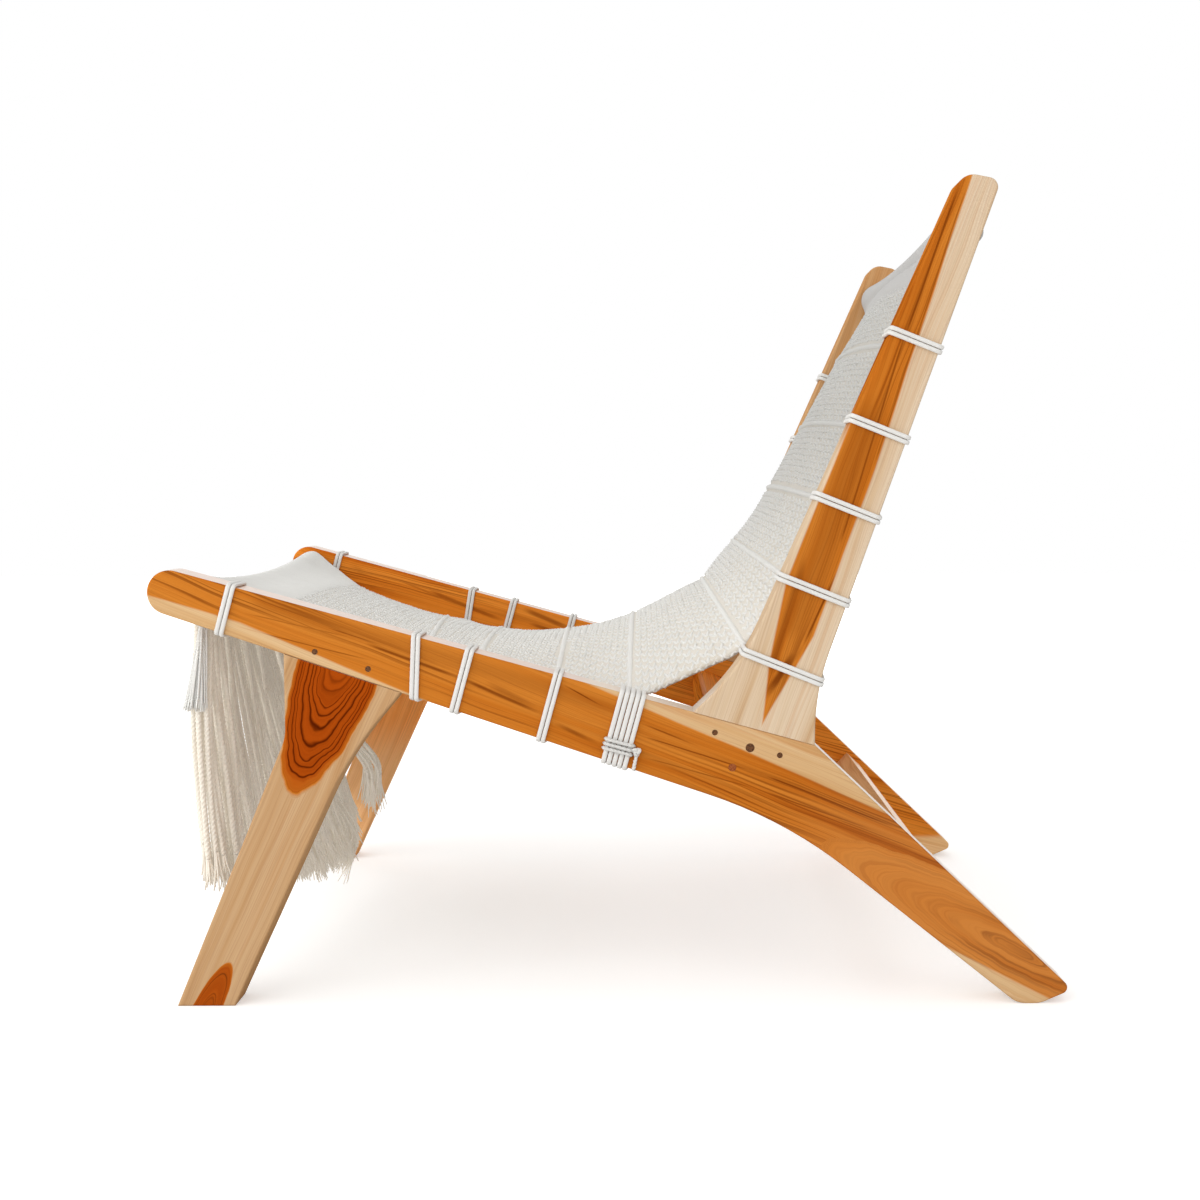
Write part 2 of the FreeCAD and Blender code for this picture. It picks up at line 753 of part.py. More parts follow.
def tress(x, top_z, top_y, end_y, end_z, top_radius, middle_radius, end_radius, bow):
    """Loft through four level circles, from the roll down, bowed forward."""
    sections = []
    stations = ((0, top_radius), (tress_swell_share, middle_radius),
                (tress_flare_share, middle_radius), (1, end_radius))
    for share, radius in stations:
        y = top_y + (end_y - top_y) * share - bow * 4 * share * (1 - share)
        z = top_z + (end_z - top_z) * share
        sections.append(three_arc_circle(V(x, y, z), radius, V(1, 0, 0), V(0, 1, 0)))
    return Part.makeLoft(sections, True)


def roll_underside(x, set_back):
    """Height just under the front roll, this far behind its middle line."""
    radius = roll_radius(x, front_roll_end_radius, front_roll_middle_radius)
    fall = math.sqrt(radius * radius - set_back * set_back)
    return front_bar_z - arch_drop(x, front_bar_dip, inner_x) - fall - soft_gap


def fringe_solids():
    half_span = inner_x - fringe_side_play - tress_end_radius
    solids = []
    for i in range(tress_count):
        x = half_span * (2 * i / (tress_count - 1) - 1)
        side_share = (x / half_span) ** 2
        end_y = fringe_middle_end_y + (fringe_side_end_y - fringe_middle_end_y) * side_share
        end_z = fringe_middle_end_z + (fringe_side_end_z - fringe_middle_end_z) * side_share
        top_z = roll_underside(x, tress_set_back - tress_top_radius)
        solids.append(tress(x, top_z, front_bar_y + tress_set_back, end_y, end_z,
                            tress_top_radius, tress_middle_radius, tress_end_radius, fringe_belly))
    return Part.makeCompound(solids)


# Build every piece of the left side and its mirror image, then the pieces across

rail = side_prism(rail_corners, inner_x, half_width)
rail = eased(rail, lambda place: False)
rail = rail.cut([
    tenon_solid(*leg_tenon, glue_gap),
    tenon_solid(*post_tenon, glue_gap),
    cross_rail_solid(glue_gap),
    stretcher_tenon_bar(glue_gap),
    bar_socket(front_bar_y, front_bar_z),
    screw_solid(glue_gap),
    plug_solid(glue_gap),
] + peg_solids(leg_pegs + post_pegs, glue_gap))
both_sides("seat_rail", rail)

leg = side_prism(leg_corners, inner_x, half_width)
leg = eased(leg, lambda place: place[1] > rail_bottom(place[0]) - plank_easing)
leg = leg.fuse(tenon_solid(*leg_tenon, 0)).removeSplitter().cut(peg_solids(leg_pegs, glue_gap))
both_sides("front_leg", leg)

post = side_prism(post_corners, inner_x, half_width)
post = eased(post, lambda place: place[1] < rail_top(place[0]) + plank_easing)
post = post.fuse(tenon_solid(*post_tenon, 0)).removeSplitter()
post = post.cut(peg_solids(post_pegs, glue_gap) + [bar_socket(top_bar_y, top_bar_z)])
both_sides("back_post", post)

both_sides("leg_tenon_pegs", Part.makeCompound(peg_solids(leg_pegs, 0)))
both_sides("post_tenon_pegs", Part.makeCompound(peg_solids(post_pegs, 0)))
both_sides("cross_rail_screw", screw_solid(0))
both_sides("screw_plug", plug_solid(0))

cross_rail = cross_rail_solid(0)
screw_hole = screw_solid(glue_gap)
cross_rail = cross_rail.cut([screw_hole, screw_hole.mirror(V(0, 0, 0), V(1, 0, 0))])
save("seat_cross_rail", cross_rail)

stretcher = side_prism(stretcher_section(0, stretcher_thickness, -stretcher_depth, 0), -inner_x, inner_x)
save("rear_stretcher", stretcher.fuse(stretcher_tenon_bar(0)).removeSplitter())

save("front_bar", bar_solid(front_bar_y, front_bar_z, front_bar_radius, front_bar_dip))
save("top_bar", bar_solid(top_bar_y, top_bar_z, top_bar_radius, top_bar_dip))
save("macrame_sling", sling_solid())
make_laces()
both_sides("bundle_tie", bundle_tie())
save("front_fringe", fringe_solids())

tuft_x = inner_x - tuft_inset
tuft_y = front_bar_y + tuft_set_back
tuft_z = roll_underside(tuft_x, tuft_set_back - tuft_radius)
both_sides("side_tuft", tress(tuft_x, tuft_z, tuft_y, tuft_y - tuft_sweep, tuft_z - tuft_length,
                              tuft_radius, tuft_radius, tuft_end_radius, 0))
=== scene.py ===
import math
import bpy
import numpy as np
from mathutils import Matrix, Vector
from mathutils.bvhtree import BVHTree


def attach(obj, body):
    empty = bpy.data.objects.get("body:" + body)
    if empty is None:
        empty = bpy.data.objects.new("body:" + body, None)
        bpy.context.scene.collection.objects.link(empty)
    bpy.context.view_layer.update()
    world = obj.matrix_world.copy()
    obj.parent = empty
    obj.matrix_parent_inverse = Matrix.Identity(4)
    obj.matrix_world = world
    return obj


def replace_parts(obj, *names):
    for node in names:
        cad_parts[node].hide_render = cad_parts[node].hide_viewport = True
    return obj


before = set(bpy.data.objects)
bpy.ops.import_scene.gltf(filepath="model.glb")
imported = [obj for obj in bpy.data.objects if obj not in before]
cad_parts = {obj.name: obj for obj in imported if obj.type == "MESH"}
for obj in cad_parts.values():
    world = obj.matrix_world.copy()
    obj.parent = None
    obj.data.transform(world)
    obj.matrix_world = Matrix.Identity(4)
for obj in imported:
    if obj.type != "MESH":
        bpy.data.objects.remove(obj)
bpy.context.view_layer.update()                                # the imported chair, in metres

mm = 0.001
dice = np.random.default_rng(41)                 # every random number comes from here


# Camera and studio

camera = {
    "place": (1.74824, 0.03635, 0.47305),
    "pitchDown": 3.99,
    "roll": 0.18,
    "lens": 47.84,
    "sensor": 36.0,
    "shiftX": -0.0434,
}
studio = {
    "floorTone": (0.80, 0.80, 0.79),
    "floorGlow": (0.40, 1.0),                    # seen near the chair and far from it
    "glowReach": (0.9, 2.4),
    "floorSize": 14.0,
    "airStrength": 0.62,
    "lamps": (                                   # place, size and power of each soft lamp
        ((2.6, -1.9, 2.3), 2.6, 32.0),
        ((3.0, -0.7, 0.7), 2.2, 20.0),
        ((2.2, 2.2, 1.5), 2.2, 16.0),
        ((0.7, -2.7, 0.6), 2.0, 30.0),
        ((-2.4, -0.6, 2.4), 2.4, 14.0),
        ((0.0, 0.1, 3.4), 2.6, 12.0),
    ),
    "aim": (0.0, 0.0, 0.35),
}


# The camera stands on the chair's left side and looks across it, pitched down and rolled a little
def makeCamera():
    data = bpy.data.cameras.new("camera")
    data.lens, data.sensor_width, data.shift_x = camera["lens"], camera["sensor"], camera["shiftX"]
    view = bpy.data.objects.new("camera", data)
    bpy.context.scene.collection.objects.link(view)
    p, r = math.radians(camera["pitchDown"]), math.radians(camera["roll"])
    back = np.array((math.cos(p), 0, math.sin(p)))
    rise = np.array((-math.sin(p), 0, math.cos(p)))
    right = math.cos(r) * np.array((0, 1, 0)) - math.sin(r) * rise
    up = math.sin(r) * np.array((0, 1, 0)) + math.cos(r) * rise
    turn = Matrix(np.stack((right, up, back), 1).tolist()).to_4x4()
    turn.translation = camera["place"]
    view.matrix_world = turn
    bpy.context.scene.camera = view


# Each soft lamp is a disk that faces the aim
def makeLamps():
    for number, (place, size, power) in enumerate(studio["lamps"]):
        data = bpy.data.lights.new("softLamp%d" % number, "AREA")
        data.shape, data.size, data.energy = "DISK", size, power
        lamp = bpy.data.objects.new(data.name, data)
        bpy.context.scene.collection.objects.link(lamp)
        lamp.location = place
        towards = np.array(studio["aim"]) - np.array(place)
        lamp.rotation_mode = "QUATERNION"
        lamp.rotation_quaternion = Vector(towards).to_track_quat("-Z", "Y")


# Small helpers for node trees: a socket among the inputs is linked, anything else is its value

def feed(tree, node, inputs):
    for key, value in inputs.items():
        if isinstance(value, bpy.types.NodeSocket):
            tree.links.new(value, node.inputs[key])
        else:
            node.inputs[key].default_value = value


def addNode(tree, kind, inputs=None, **settings):
    node = tree.nodes.new(kind)
    for key, value in settings.items():
        setattr(node, key, value)
    feed(tree, node, inputs or {})
    return node


def sums(tree, operation, first, second=0.0, clamp=False):
    return addNode(tree, "ShaderNodeMath", {0: first, 1: second},
                   operation=operation, use_clamp=clamp).outputs[0]


# A smooth step from start to end while value goes from low to high
def ramp(tree, value, low, high, start=0.0, end=1.0):
    return addNode(tree, "ShaderNodeMapRange", {
        "Value": value, "From Min": low, "From Max": high, "To Min": start, "To Max": end},
        interpolation_type="SMOOTHSTEP").outputs[0]


def objectPlace(tree):
    return addNode(tree, "ShaderNodeTexCoord").outputs["Object"]


def axisOf(tree, vector, axis):
    return addNode(tree, "ShaderNodeSeparateXYZ", {0: vector}).outputs[axis]


def noiseOf(tree, place, scale, detail=2.0, rough=0.5):
    return addNode(tree, "ShaderNodeTexNoise", {
        "Vector": place, "Scale": scale, "Detail": detail, "Roughness": rough}).outputs[0]


# Noise with its own scale along each axis
def drawnNoise(tree, place, scales, detail=2.0, rough=0.5):
    drawn = addNode(tree, "ShaderNodeMapping", {"Vector": place, "Scale": scales})
    return noiseOf(tree, drawn.outputs[0], 1.0, detail, rough)


def blendTone(tree, share, first, second, mode="MIX"):
    return addNode(tree, "ShaderNodeMix", {0: share, 6: first, 7: second},
                   data_type="RGBA", blend_type=mode).outputs[2]


def blendValue(tree, share, first, second):
    return addNode(tree, "ShaderNodeMix", {0: share, 2: first, 3: second}).outputs[0]


# A colour as seen on a screen, 0 to 255, as the plain light that a shader takes
def tone(red, green, blue):
    seen = np.array((red, green, blue)) / 255
    light = np.where(seen <= 0.04045, seen / 12.92, ((seen + 0.055) / 1.055) ** 2.4)
    return tuple(light.tolist()) + (1.0,)


# A material that is one shader, wired to its output
def newMaterial(name):
    material = bpy.data.materials.new(name)
    material.use_nodes = True
    tree = material.node_tree
    tree.nodes.clear()
    shader = addNode(tree, "ShaderNodeBsdfPrincipled")
    addNode(tree, "ShaderNodeOutputMaterial", {"Surface": shader.outputs[0]})
    return material, tree, shader


# 1 for rays that show the backdrop, also in a mirror or through glass, and 0 for those that light it
def backdropRays(tree):
    rays = addNode(tree, "ShaderNodeLightPath")
    seen = sums(tree, "MAXIMUM", rays.outputs["Is Camera Ray"], rays.outputs["Is Glossy Ray"])
    return sums(tree, "MAXIMUM", seen, rays.outputs["Is Transmission Ray"])


def makeStage():
    half = 0.5 * studio["floorSize"]
    mesh = bpy.data.meshes.new("studioFloor")
    mesh.from_pydata([(-half, -half, 0), (half, -half, 0), (half, half, 0), (-half, half, 0)],
                     [], [(0, 1, 2, 3)])
    floor = bpy.data.objects.new("studioFloor", mesh)
    bpy.context.scene.collection.objects.link(floor)
    material, tree, shader = newMaterial("paleFloor")
    away = addNode(tree, "ShaderNodeVectorMath", {0: objectPlace(tree)}, operation="LENGTH")
    glow = ramp(tree, away.outputs["Value"], *studio["glowReach"], *studio["floorGlow"])
    feed(tree, shader, {"Base Color": studio["floorTone"] + (1.0,), "Roughness": 0.9,
                        "Specular IOR Level": 0.0, "Emission Color": (1, 1, 1, 1),
                        "Emission Strength": sums(tree, "MULTIPLY", backdropRays(tree), glow)})
    mesh.materials.append(material)

    world = bpy.data.worlds.new("paleRoom")
    bpy.context.scene.world = world
    world.use_nodes = True
    tree = world.node_tree
    tree.nodes.clear()
    air, wall = (addNode(tree, "ShaderNodeBackground", {0: (1, 1, 1, 1), 1: strength})
                 for strength in (studio["airStrength"], 1.0))
    both = addNode(tree, "ShaderNodeMixShader", {
        0: backdropRays(tree), 1: air.outputs[0], 2: wall.outputs[0]})
    addNode(tree, "ShaderNodeOutputWorld", {0: both.outputs[0]})


bpy.context.scene.view_settings.view_transform = "Standard"
makeCamera()
makeLamps()
makeStage()
print("camera, lamps and floor are in place")


# Teak: growth lines run along each plank. Zones of heartwood and sapwood, ovals of rings and single
# dark lines are drawn on the side plane, in millimetres (y, z), and laid on in turn

teak = {
    "heart": tone(187, 106, 31),
    "heartDeep": tone(158, 75, 11),
    "heartLine": tone(104, 42, 4),
    "heartLight": tone(197, 120, 43),
    "figure": tone(162, 69, 11),                 # heartwood inside the ovals
    "figureLine": tone(88, 28, 2),
    "sap": tone(200, 160, 111),
    "sapDeep": tone(184, 138, 88),
    "sapLight": tone(209, 177, 134),
    "tan": tone(182, 144, 102),                  # the paler planks as a whole
    "tanDeep": tone(167, 124, 80),
    "tanLight": tone(193, 160, 121),
    "cream": tone(204, 180, 149),                # the palest sapwood
    "creamDeep": tone(194, 163, 126),
    "creamLight": tone(211, 191, 164),
    "gloss": (0.28, 0.43),                       # roughness between pores and in them
    "shine": (0.0, 1.0),                         # seen squarely and at a low angle
    "grazedSheen": tone(214, 202, 190),               # painted sheen: the pale room reflected on top faces seen at a low angle
}
growth = {                                       # noise scales are per metre
    "warp": (14, 2.4, 14),                       # slow bends of every line: through, along, across
    "ripple": (40, 9, 40),                       # quick ones
    "bend": (0.030, 0.0022),                     # how far both move the growth lines, in metres
    "stray": (0.004, 0.0028),                    # how far both move what is drawn, in metres
    "throughPlank": 0.35,                        # how the lines move over between the two faces
    "bands": (75, 1.8, 1),                       # these four: across and along the grain
    "lines": (330, 2.6, 1),
    "veins": (240, 1.5, 1),                      # crisp lines, where this noise is at its middle
    "pores": (1050, 7.0, 1),
    "linePatches": (24, 2.4, 24),                # where fine lines and veins are strong
    "veinPatches": (36, 3.0, 36),
    "bandFrom": (0.36, 0.64),                    # each From: where the noise begins to show and is full
    "deepFrom": (0.56, 0.74),
    "lineFrom": (0.585, 0.70),
    "veinFrom": (0.070, 0.0),
    "poreFrom": (0.42, 0.72),
    "linePatchFrom": (0.35, 0.62),
    "veinPatchFrom": (0.40, 0.64, 0.10, 0.75),
    "lineStrength": 0.85,
    "paleLines": 0.38,                           # strength of the lines on sapwood
    "upward": (0.45, 0.75),                      # how far a face looks up to get the painted sheen
    "grazing": (0.72, 0.92),                     # and how low it is seen
}
figure = {                                       # ovals, in shares of their width and height
    "wobble": (0.16, 0.10),                      # by the warp, and by a finer noise
    "wobbleScale": 50.0,
    "edge": (1.025, 0.985),
    "rim": (0.92, 0.99),                         # the rim takes on the tone of the plank
    "uneven": (7.0, 11.0),                       # how often rings crowd, and how much
    "sharp": 6.0,
    "ringsFrom": (0.35, 0.60),                   # rings are faint inside and full outside
    "faint": 0.35,
    "full": 1.0,
    "deep": (0.50, 0.72, 0.0, 0.30),             # darker bands inside
    "shareFrom": (1.02, 1.25),                   # an oval's heartwood share that gives its own tone
}
strokeEnds = (0.004, 0.02, 0.03)                 # a stroke's overhang and its two tapers, in metres


# Distance to the left of the line from start to end, and along it from its start, in metres:
# with the unit direction d and place p, left = d x (p - start) and ahead = d . (p - start)
def besideLine(tree, y, z, start, end):
    run, rise = end[0] - start[0], end[1] - start[1]
    span = math.hypot(run, rise)
    run, rise = run / span, rise / span
    left = sums(tree, "SUBTRACT", sums(tree, "MULTIPLY", z, run), sums(tree, "MULTIPLY", y, rise))
    left = sums(tree, "SUBTRACT", left, (start[1] * run - start[0] * rise) * mm)
    ahead = sums(tree, "ADD", sums(tree, "MULTIPLY", y, run), sums(tree, "MULTIPLY", z, rise))
    ahead = sums(tree, "SUBTRACT", ahead, (start[0] * run + start[1] * rise) * mm)
    return left, ahead, span * mm


# 0 in the middle of an oval, 1 on its rim, more outside; its height leans by turn degrees
def ovalShare(tree, place, centre, turn, width, height):
    inOval = addNode(tree, "ShaderNodeMapping", {
        "Vector": place, "Location": (0, centre[0] * mm, centre[1] * mm),
        "Rotation": (math.radians(turn), 0, 0), "Scale": (9.0, width * mm, height * mm)},
        vector_type="TEXTURE")
    return addNode(tree, "ShaderNodeVectorMath", {0: inOval.outputs[0]},
                   operation="LENGTH").outputs["Value"]


# Across the grain, a noise that hardly changes along it gives bands and fine lines; slow noise bends
# them all. Zones set the share of heartwood. In an oval the distance across is share * width, so the
# lines close to rings, and count dark rings are added: ((1 + sin(2 pi count share + uneven)) / 2) ^ 6.
# Top faces that are seen at a low angle get a painted whitish sheen, in place of the pale room
# reflected there
def makeTeak(name, grainTurn, base=1.0, zones=(), ovals=(), strokes=(), along="side", seed=0.0,
             lineTone=1.0, pale="sap", shade=1.0, sheenShare=0.75):
    material, tree, shader = newMaterial(name)
    place = objectPlace(tree)
    turn = (-math.radians(grainTurn), 0, 0) if along == "side" else (0, 0, math.radians(90))
    grain = addNode(tree, "ShaderNodeMapping", {
        "Vector": place, "Rotation": turn, "Location": (seed, 0.37 * seed, 0.71 * seed)}).outputs[0]
    through, lengthwise, across = (axisOf(tree, grain, axis) for axis in range(3))
    y, z = axisOf(tree, place, 1), axisOf(tree, place, 2)

    def noise(scales, detail=2.0, rough=0.5, source=grain):
        return drawnNoise(tree, source, scales, detail, rough)

    def less(value, amount=0.5):
        return sums(tree, "SUBTRACT", value, amount)

    def times(first, second):
        return sums(tree, "MULTIPLY", first, second)

    def plus(first, second):
        return sums(tree, "ADD", first, second)

    def most(first, second):
        return second if first is None else sums(tree, "MAXIMUM", first, second)

    def step(value, *limits):
        return ramp(tree, value, *limits)

    def blend(share, first, second, mode="MIX"):
        return blendTone(tree, share, first, second, mode)

    warp, ripple = less(noise(growth["warp"], 3.0)), less(noise(growth["ripple"]))
    bent = plus(across, times(warp, growth["bend"][0]))
    bent = plus(bent, times(ripple, growth["bend"][1]))
    bent = plus(bent, times(through, growth["throughPlank"]))
    stray = plus(times(warp, growth["stray"][0]), times(ripple, growth["stray"][1]))

    # heartwood share, and the distance across the grain that the lines follow
    heart = addNode(tree, "ShaderNodeValue").outputs[0]
    heart.default_value = base
    for lines, blur, share in zones:
        inside = None
        for start, end in lines:
            left = besideLine(tree, y, z, start, end)[0]
            side = step(plus(left, stray), -blur * mm, blur * mm)
            inside = side if inside is None else sums(tree, "MINIMUM", inside, side)
        heart = blendValue(tree, inside, heart, share)
    rings, rim = None, None
    wobble = plus(times(warp, figure["wobble"][0]),
                  times(less(noise((figure["wobbleScale"],) * 3)), figure["wobble"][1]))
    for centre, lean, width, height, count, share in ovals:
        near = plus(ovalShare(tree, place, centre, lean, width, height), wobble)
        inside = step(near, *figure["edge"])
        bent = blendValue(tree, inside, bent, times(near, width * mm))
        if share is not None:
            heart = blendValue(tree, inside, heart, share)
        rim = most(rim, times(step(near, *figure["rim"]), inside))
        if count:
            often, much = figure["uneven"]
            uneven = addNode(tree, "ShaderNodeTexNoise", {
                "W": times(near, often), "Scale": 1.0, "Detail": 1.0}, noise_dimensions="1D").outputs[0]
            wave = sums(tree, "SINE", plus(times(near, 2 * math.pi * count), times(uneven, much)))
            ring = times(sums(tree, "POWER", plus(times(wave, 0.5), 0.5), figure["sharp"]), inside)
            rise = step(near, *figure["ringsFrom"], 0.0, figure["full"] - figure["faint"])
            rings = most(rings, times(ring, plus(rise, figure["faint"])))

    # tone across the grain: broad bands, then fine lines that come and go along the plank
    flat = addNode(tree, "ShaderNodeCombineXYZ", {0: bent, 1: lengthwise}).outputs[0]
    broad = noise(growth["bands"], 2.0, 0.5, flat)
    lined = noise(growth["lines"], 3.0, 0.6, flat)
    fine = noise(growth["pores"], 2.0, 0.6, flat)
    patch = step(noise(growth["linePatches"]), *growth["linePatchFrom"])
    thin = times(step(lined, *growth["lineFrom"]), plus(times(patch, 0.6), 0.2))
    veins = noise(growth["veins"], 1.0, 0.4, flat)
    vein = step(sums(tree, "ABSOLUTE", less(veins)), *growth["veinFrom"])
    vein = times(vein, step(noise(growth["veinPatches"]), *growth["veinPatchFrom"]))
    dark = sums(tree, "MULTIPLY", most(thin, vein), growth["lineStrength"] * lineTone, True)
    over, taperIn, taperOut = strokeEnds
    for start, end, width, strength in strokes:
        left, ahead, span = besideLine(tree, y, z, start, end)
        off = sums(tree, "ABSOLUTE", plus(left, stray))
        ends = times(step(ahead, -over, taperIn), step(ahead, span + over, span - taperOut))
        mark = times(step(off, width * mm, 0.2 * width * mm), ends)
        dark = most(dark, times(mark, strength))

    bands = step(broad, *growth["bandFrom"])
    heartTone = blend(bands, teak["heartLight"], teak["heart"])
    heartTone = blend(step(broad, *growth["deepFrom"], 0.0, 0.8), heartTone, teak["heartDeep"])
    heartTone = blend(dark, heartTone, teak["heartLine"])
    if ovals:
        figureTone = blend(step(broad, *figure["deep"]), teak["figure"], teak["figureLine"])
        figureTone = blend(times(dark, 0.5), figureTone, teak["figureLine"])
        figureTone = blend(times(rim, 0.55), figureTone, teak["heart"])
        if rings is not None:
            figureTone = blend(rings, figureTone, teak["figureLine"])
        heartTone = blend(step(heart, *figure["shareFrom"]), heartTone, figureTone)
    light, middle, deeper = (teak[pale + part] for part in ("Light", "", "Deep"))
    paleTone = blend(bands, light, middle)
    paleTone = blend(step(broad, *growth["deepFrom"], 0.0, 0.9), paleTone, deeper)
    paleTone = blend(times(dark, growth["paleLines"]), paleTone, teak["heart"])
    colour = blend(sums(tree, "MULTIPLY", heart, 1.0, True), paleTone, heartTone)
    pores = step(fine, *growth["poreFrom"], 0.0, 0.20)
    colour = blend(pores, colour, teak["heartDeep"], "MULTIPLY")
    # Shade is a factor on the whole tone; above 1 it is painted light that lifts far pieces lying in
    # shade
    if shade != 1.0:
        colour = blend(1.0, colour, (shade, shade, shade, 1.0), "MULTIPLY")
    # painted sheen: the tone turns whitish where a top face is seen at a low angle
    facing = addNode(tree, "ShaderNodeLayerWeight", {"Blend": 0.5}).outputs["Facing"]
    normal = addNode(tree, "ShaderNodeNewGeometry").outputs["Normal"]
    low = times(facing, step(axisOf(tree, normal, 2), *growth["upward"]))
    bump = addNode(tree, "ShaderNodeBump", {"Strength": 0.25, "Distance": 0.0003, "Height": fine})
    feed(tree, shader, {
        "Base Color": blend(step(low, *growth["grazing"], 0.0, sheenShare), colour, teak["grazedSheen"]),
        "Roughness": step(fine, 0.3, 0.8, *teak["gloss"]),
        "Specular IOR Level": step(low, 0.70, 0.94, *teak["shine"]),
        "Normal": bump.outputs[0]})
    return material


# Each zone is a list of lines that it lies to the left of, its blur, and its share of heartwood;
# each oval its centre, lean, width, height, rings and share; each stroke its ends, width and strength
noseSap = ([((-336, 353), (-408, 375)), ((-156, 276), (-336, 353)), ((0, 0), (0, 300))], 1.2, 0.03)
wedgeSap = ([((40, 270), (243, 180))], 1.2, 0.03)
soleSap = ([((401, 5), (311, 51)), ((280, 300), (280, 0))], 1.4, 0.05)
farSoleSap = ([((420, 26), (280, 26))], 4.0, 0.05)
rearPale = ([((262, 250), (150, 120))], 60.0, 0.90)
footPale = ([((-200, 150), (-400, 150))], 40.0, 0.15)
postHeart = ([((237, 491), (320, 745)), ((182, 340), (237, 491)), ((144, 274), (182, 340)),
              ((184, 456), (157, 388)), ((157, 388), (142, 314)), ((142, 314), (138, 276))], 1.1, 1.0)
railStrokes = [((-225, 335), (-131, 300), 2.2, 0.75), ((-138, 303), (-60, 268), 2.6, 0.75),
               ((-262, 350), (-200, 330), 0.9, 0.70), ((-345, 352), (-215, 318), 0.9, 0.60),
               ((-330, 362), (-230, 338), 0.8, 0.50), ((-47, 298), (0, 272), 1.1, 0.85),
               ((-118, 300), (-61, 271), 4.5, 0.40), ((-55, 262), (-8, 239), 3.2, 0.60),
               ((25, 262), (79, 239), 1.2, 0.70), ((-330, 374), (20, 269), 11.0, 0.24),
               ((25, 250), (134, 214), 1.1, 0.75), ((134, 214), (262, 163), 1.3, 0.85),
               ((25, 230), (134, 199), 1.0, 0.60), ((134, 199), (244, 159), 1.1, 0.65),
               ((198, 188), (266, 162), 0.9, 0.75), ((198, 174), (288, 140), 0.8, 0.60),
               ((72, 271), (186, 240), 0.8, 0.90)]
postStrokes = [((262, 605), (311, 745), 1.7, 0.75), ((205, 420), (266, 618), 1.5, 0.70),
               ((235, 491), (318, 745), 0.9, 0.55), ((138, 283), (172, 335), 5.5, 0.85),
               ((141, 300), (178, 420), 6.0, 0.50), ((172, 330), (206, 405), 1.6, 0.80),
               ((160, 330), (240, 560), 20.0, 0.30)]
farStrokes = [((-290, 360), (-200, 322), 2.0, 0.40), ((-250, 345), (-150, 305), 4.0, 0.65),
              ((-345, 376), (-320, 362), 6.0, 0.55), ((-130, 322), (-60, 292), 5.0, 0.70),
              ((-125, 305), (-70, 285), 4.0, 0.65)]

# The far rail, far leg, cross rail and stretcher take a shade above 1: painted light on pieces that lie
# in shade
teakOf = {
    "left_seat_rail": makeTeak("teakLeftRail", -22.0, 1.0, [rearPale, noseSap, wedgeSap, soleSap],
                               [((370, 50), 61.0, 36.0, 200.0, 2.0, None)], railStrokes, seed=0.13),
    "right_seat_rail": makeTeak("teakRightRail", -15.5, 1.0, [farSoleSap], (), farStrokes, seed=0.52,
                                shade=1.38),
    "left_back_post": makeTeak("teakLeftPost", 70.0, 0.03, [postHeart], (), postStrokes, seed=0.31,
                               lineTone=0.7, pale="cream"),
    "right_back_post": makeTeak("teakRightPost", 70.5, 0.35, seed=0.77, lineTone=0.6, shade=0.92),
    "left_front_leg": makeTeak("teakLeftLeg", 66.0, 0.05, [], [
        ((-227, 366), -20.6, 39.9, 174.9, 14.3, 1.25), ((-384, -22), -27.5, 13.1, 68.4, 3.0, 1.2)],
        seed=0.95, lineTone=0.5, pale="tan"),
    "right_front_leg": makeTeak("teakRightLeg", 66.0, 0.75, [footPale], seed=1.4, lineTone=0.5,
                                pale="tan", shade=1.8),
    "seat_cross_rail": makeTeak("teakCrossRail", 0, 1.0, along="across", seed=0.2, shade=1.6,
                                sheenShare=0.0),
    "rear_stretcher": makeTeak("teakStretcher", 0, 0.15, along="across", seed=0.4, pale="tan",
                               shade=1.6, sheenShare=0.0),
    "front_bar": makeTeak("teakFrontBar", 0, 0.5, along="across", seed=0.6),
    "top_bar": makeTeak("teakTopBar", 0, 0.5, along="across", seed=0.8),
}


# Dark end grain: at this size only its pores can be told apart
def makeEndGrain(name, dark, light):
    material, tree, shader = newMaterial(name)
    spots = ramp(tree, noiseOf(tree, objectPlace(tree), 900.0), 0.35, 0.65)
    feed(tree, shader, {"Base Color": blendTone(tree, spots, dark, light),
                        "Roughness": 0.6, "Specular IOR Level": 0.2})
    return material


# Brushed along the screw
def makeZinc():
    material, tree, shader = newMaterial("zincPlate")
    lines = drawnNoise(tree, objectPlace(tree), (40, 900, 900))
    feed(tree, shader, {"Base Color": blendTone(tree, lines, tone(168, 168, 172), tone(205, 205, 208)),
                        "Metallic": 1.0, "Roughness": 0.38})
    return material


def dress(node, material):
    node.data.materials.clear()
    node.data.materials.append(material)


smallParts = {                                   # by a word in the node's name
    "peg": makeEndGrain("pegWood", tone(64, 36, 15), tone(108, 68, 36)),
    "plug": makeEndGrain("plugWood", tone(122, 58, 22), tone(152, 80, 32)),
    "screw": makeZinc(),
}
for name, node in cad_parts.items():
    words = [word for word in smallParts if word in name]
    if name in teakOf:
        dress(node, teakOf[name])
    elif words:
        dress(node, smallParts[words[0]])
print("the wooden frame has its grain")


# Cotton: matt off-white cord, a little darker where it is worn into the weave

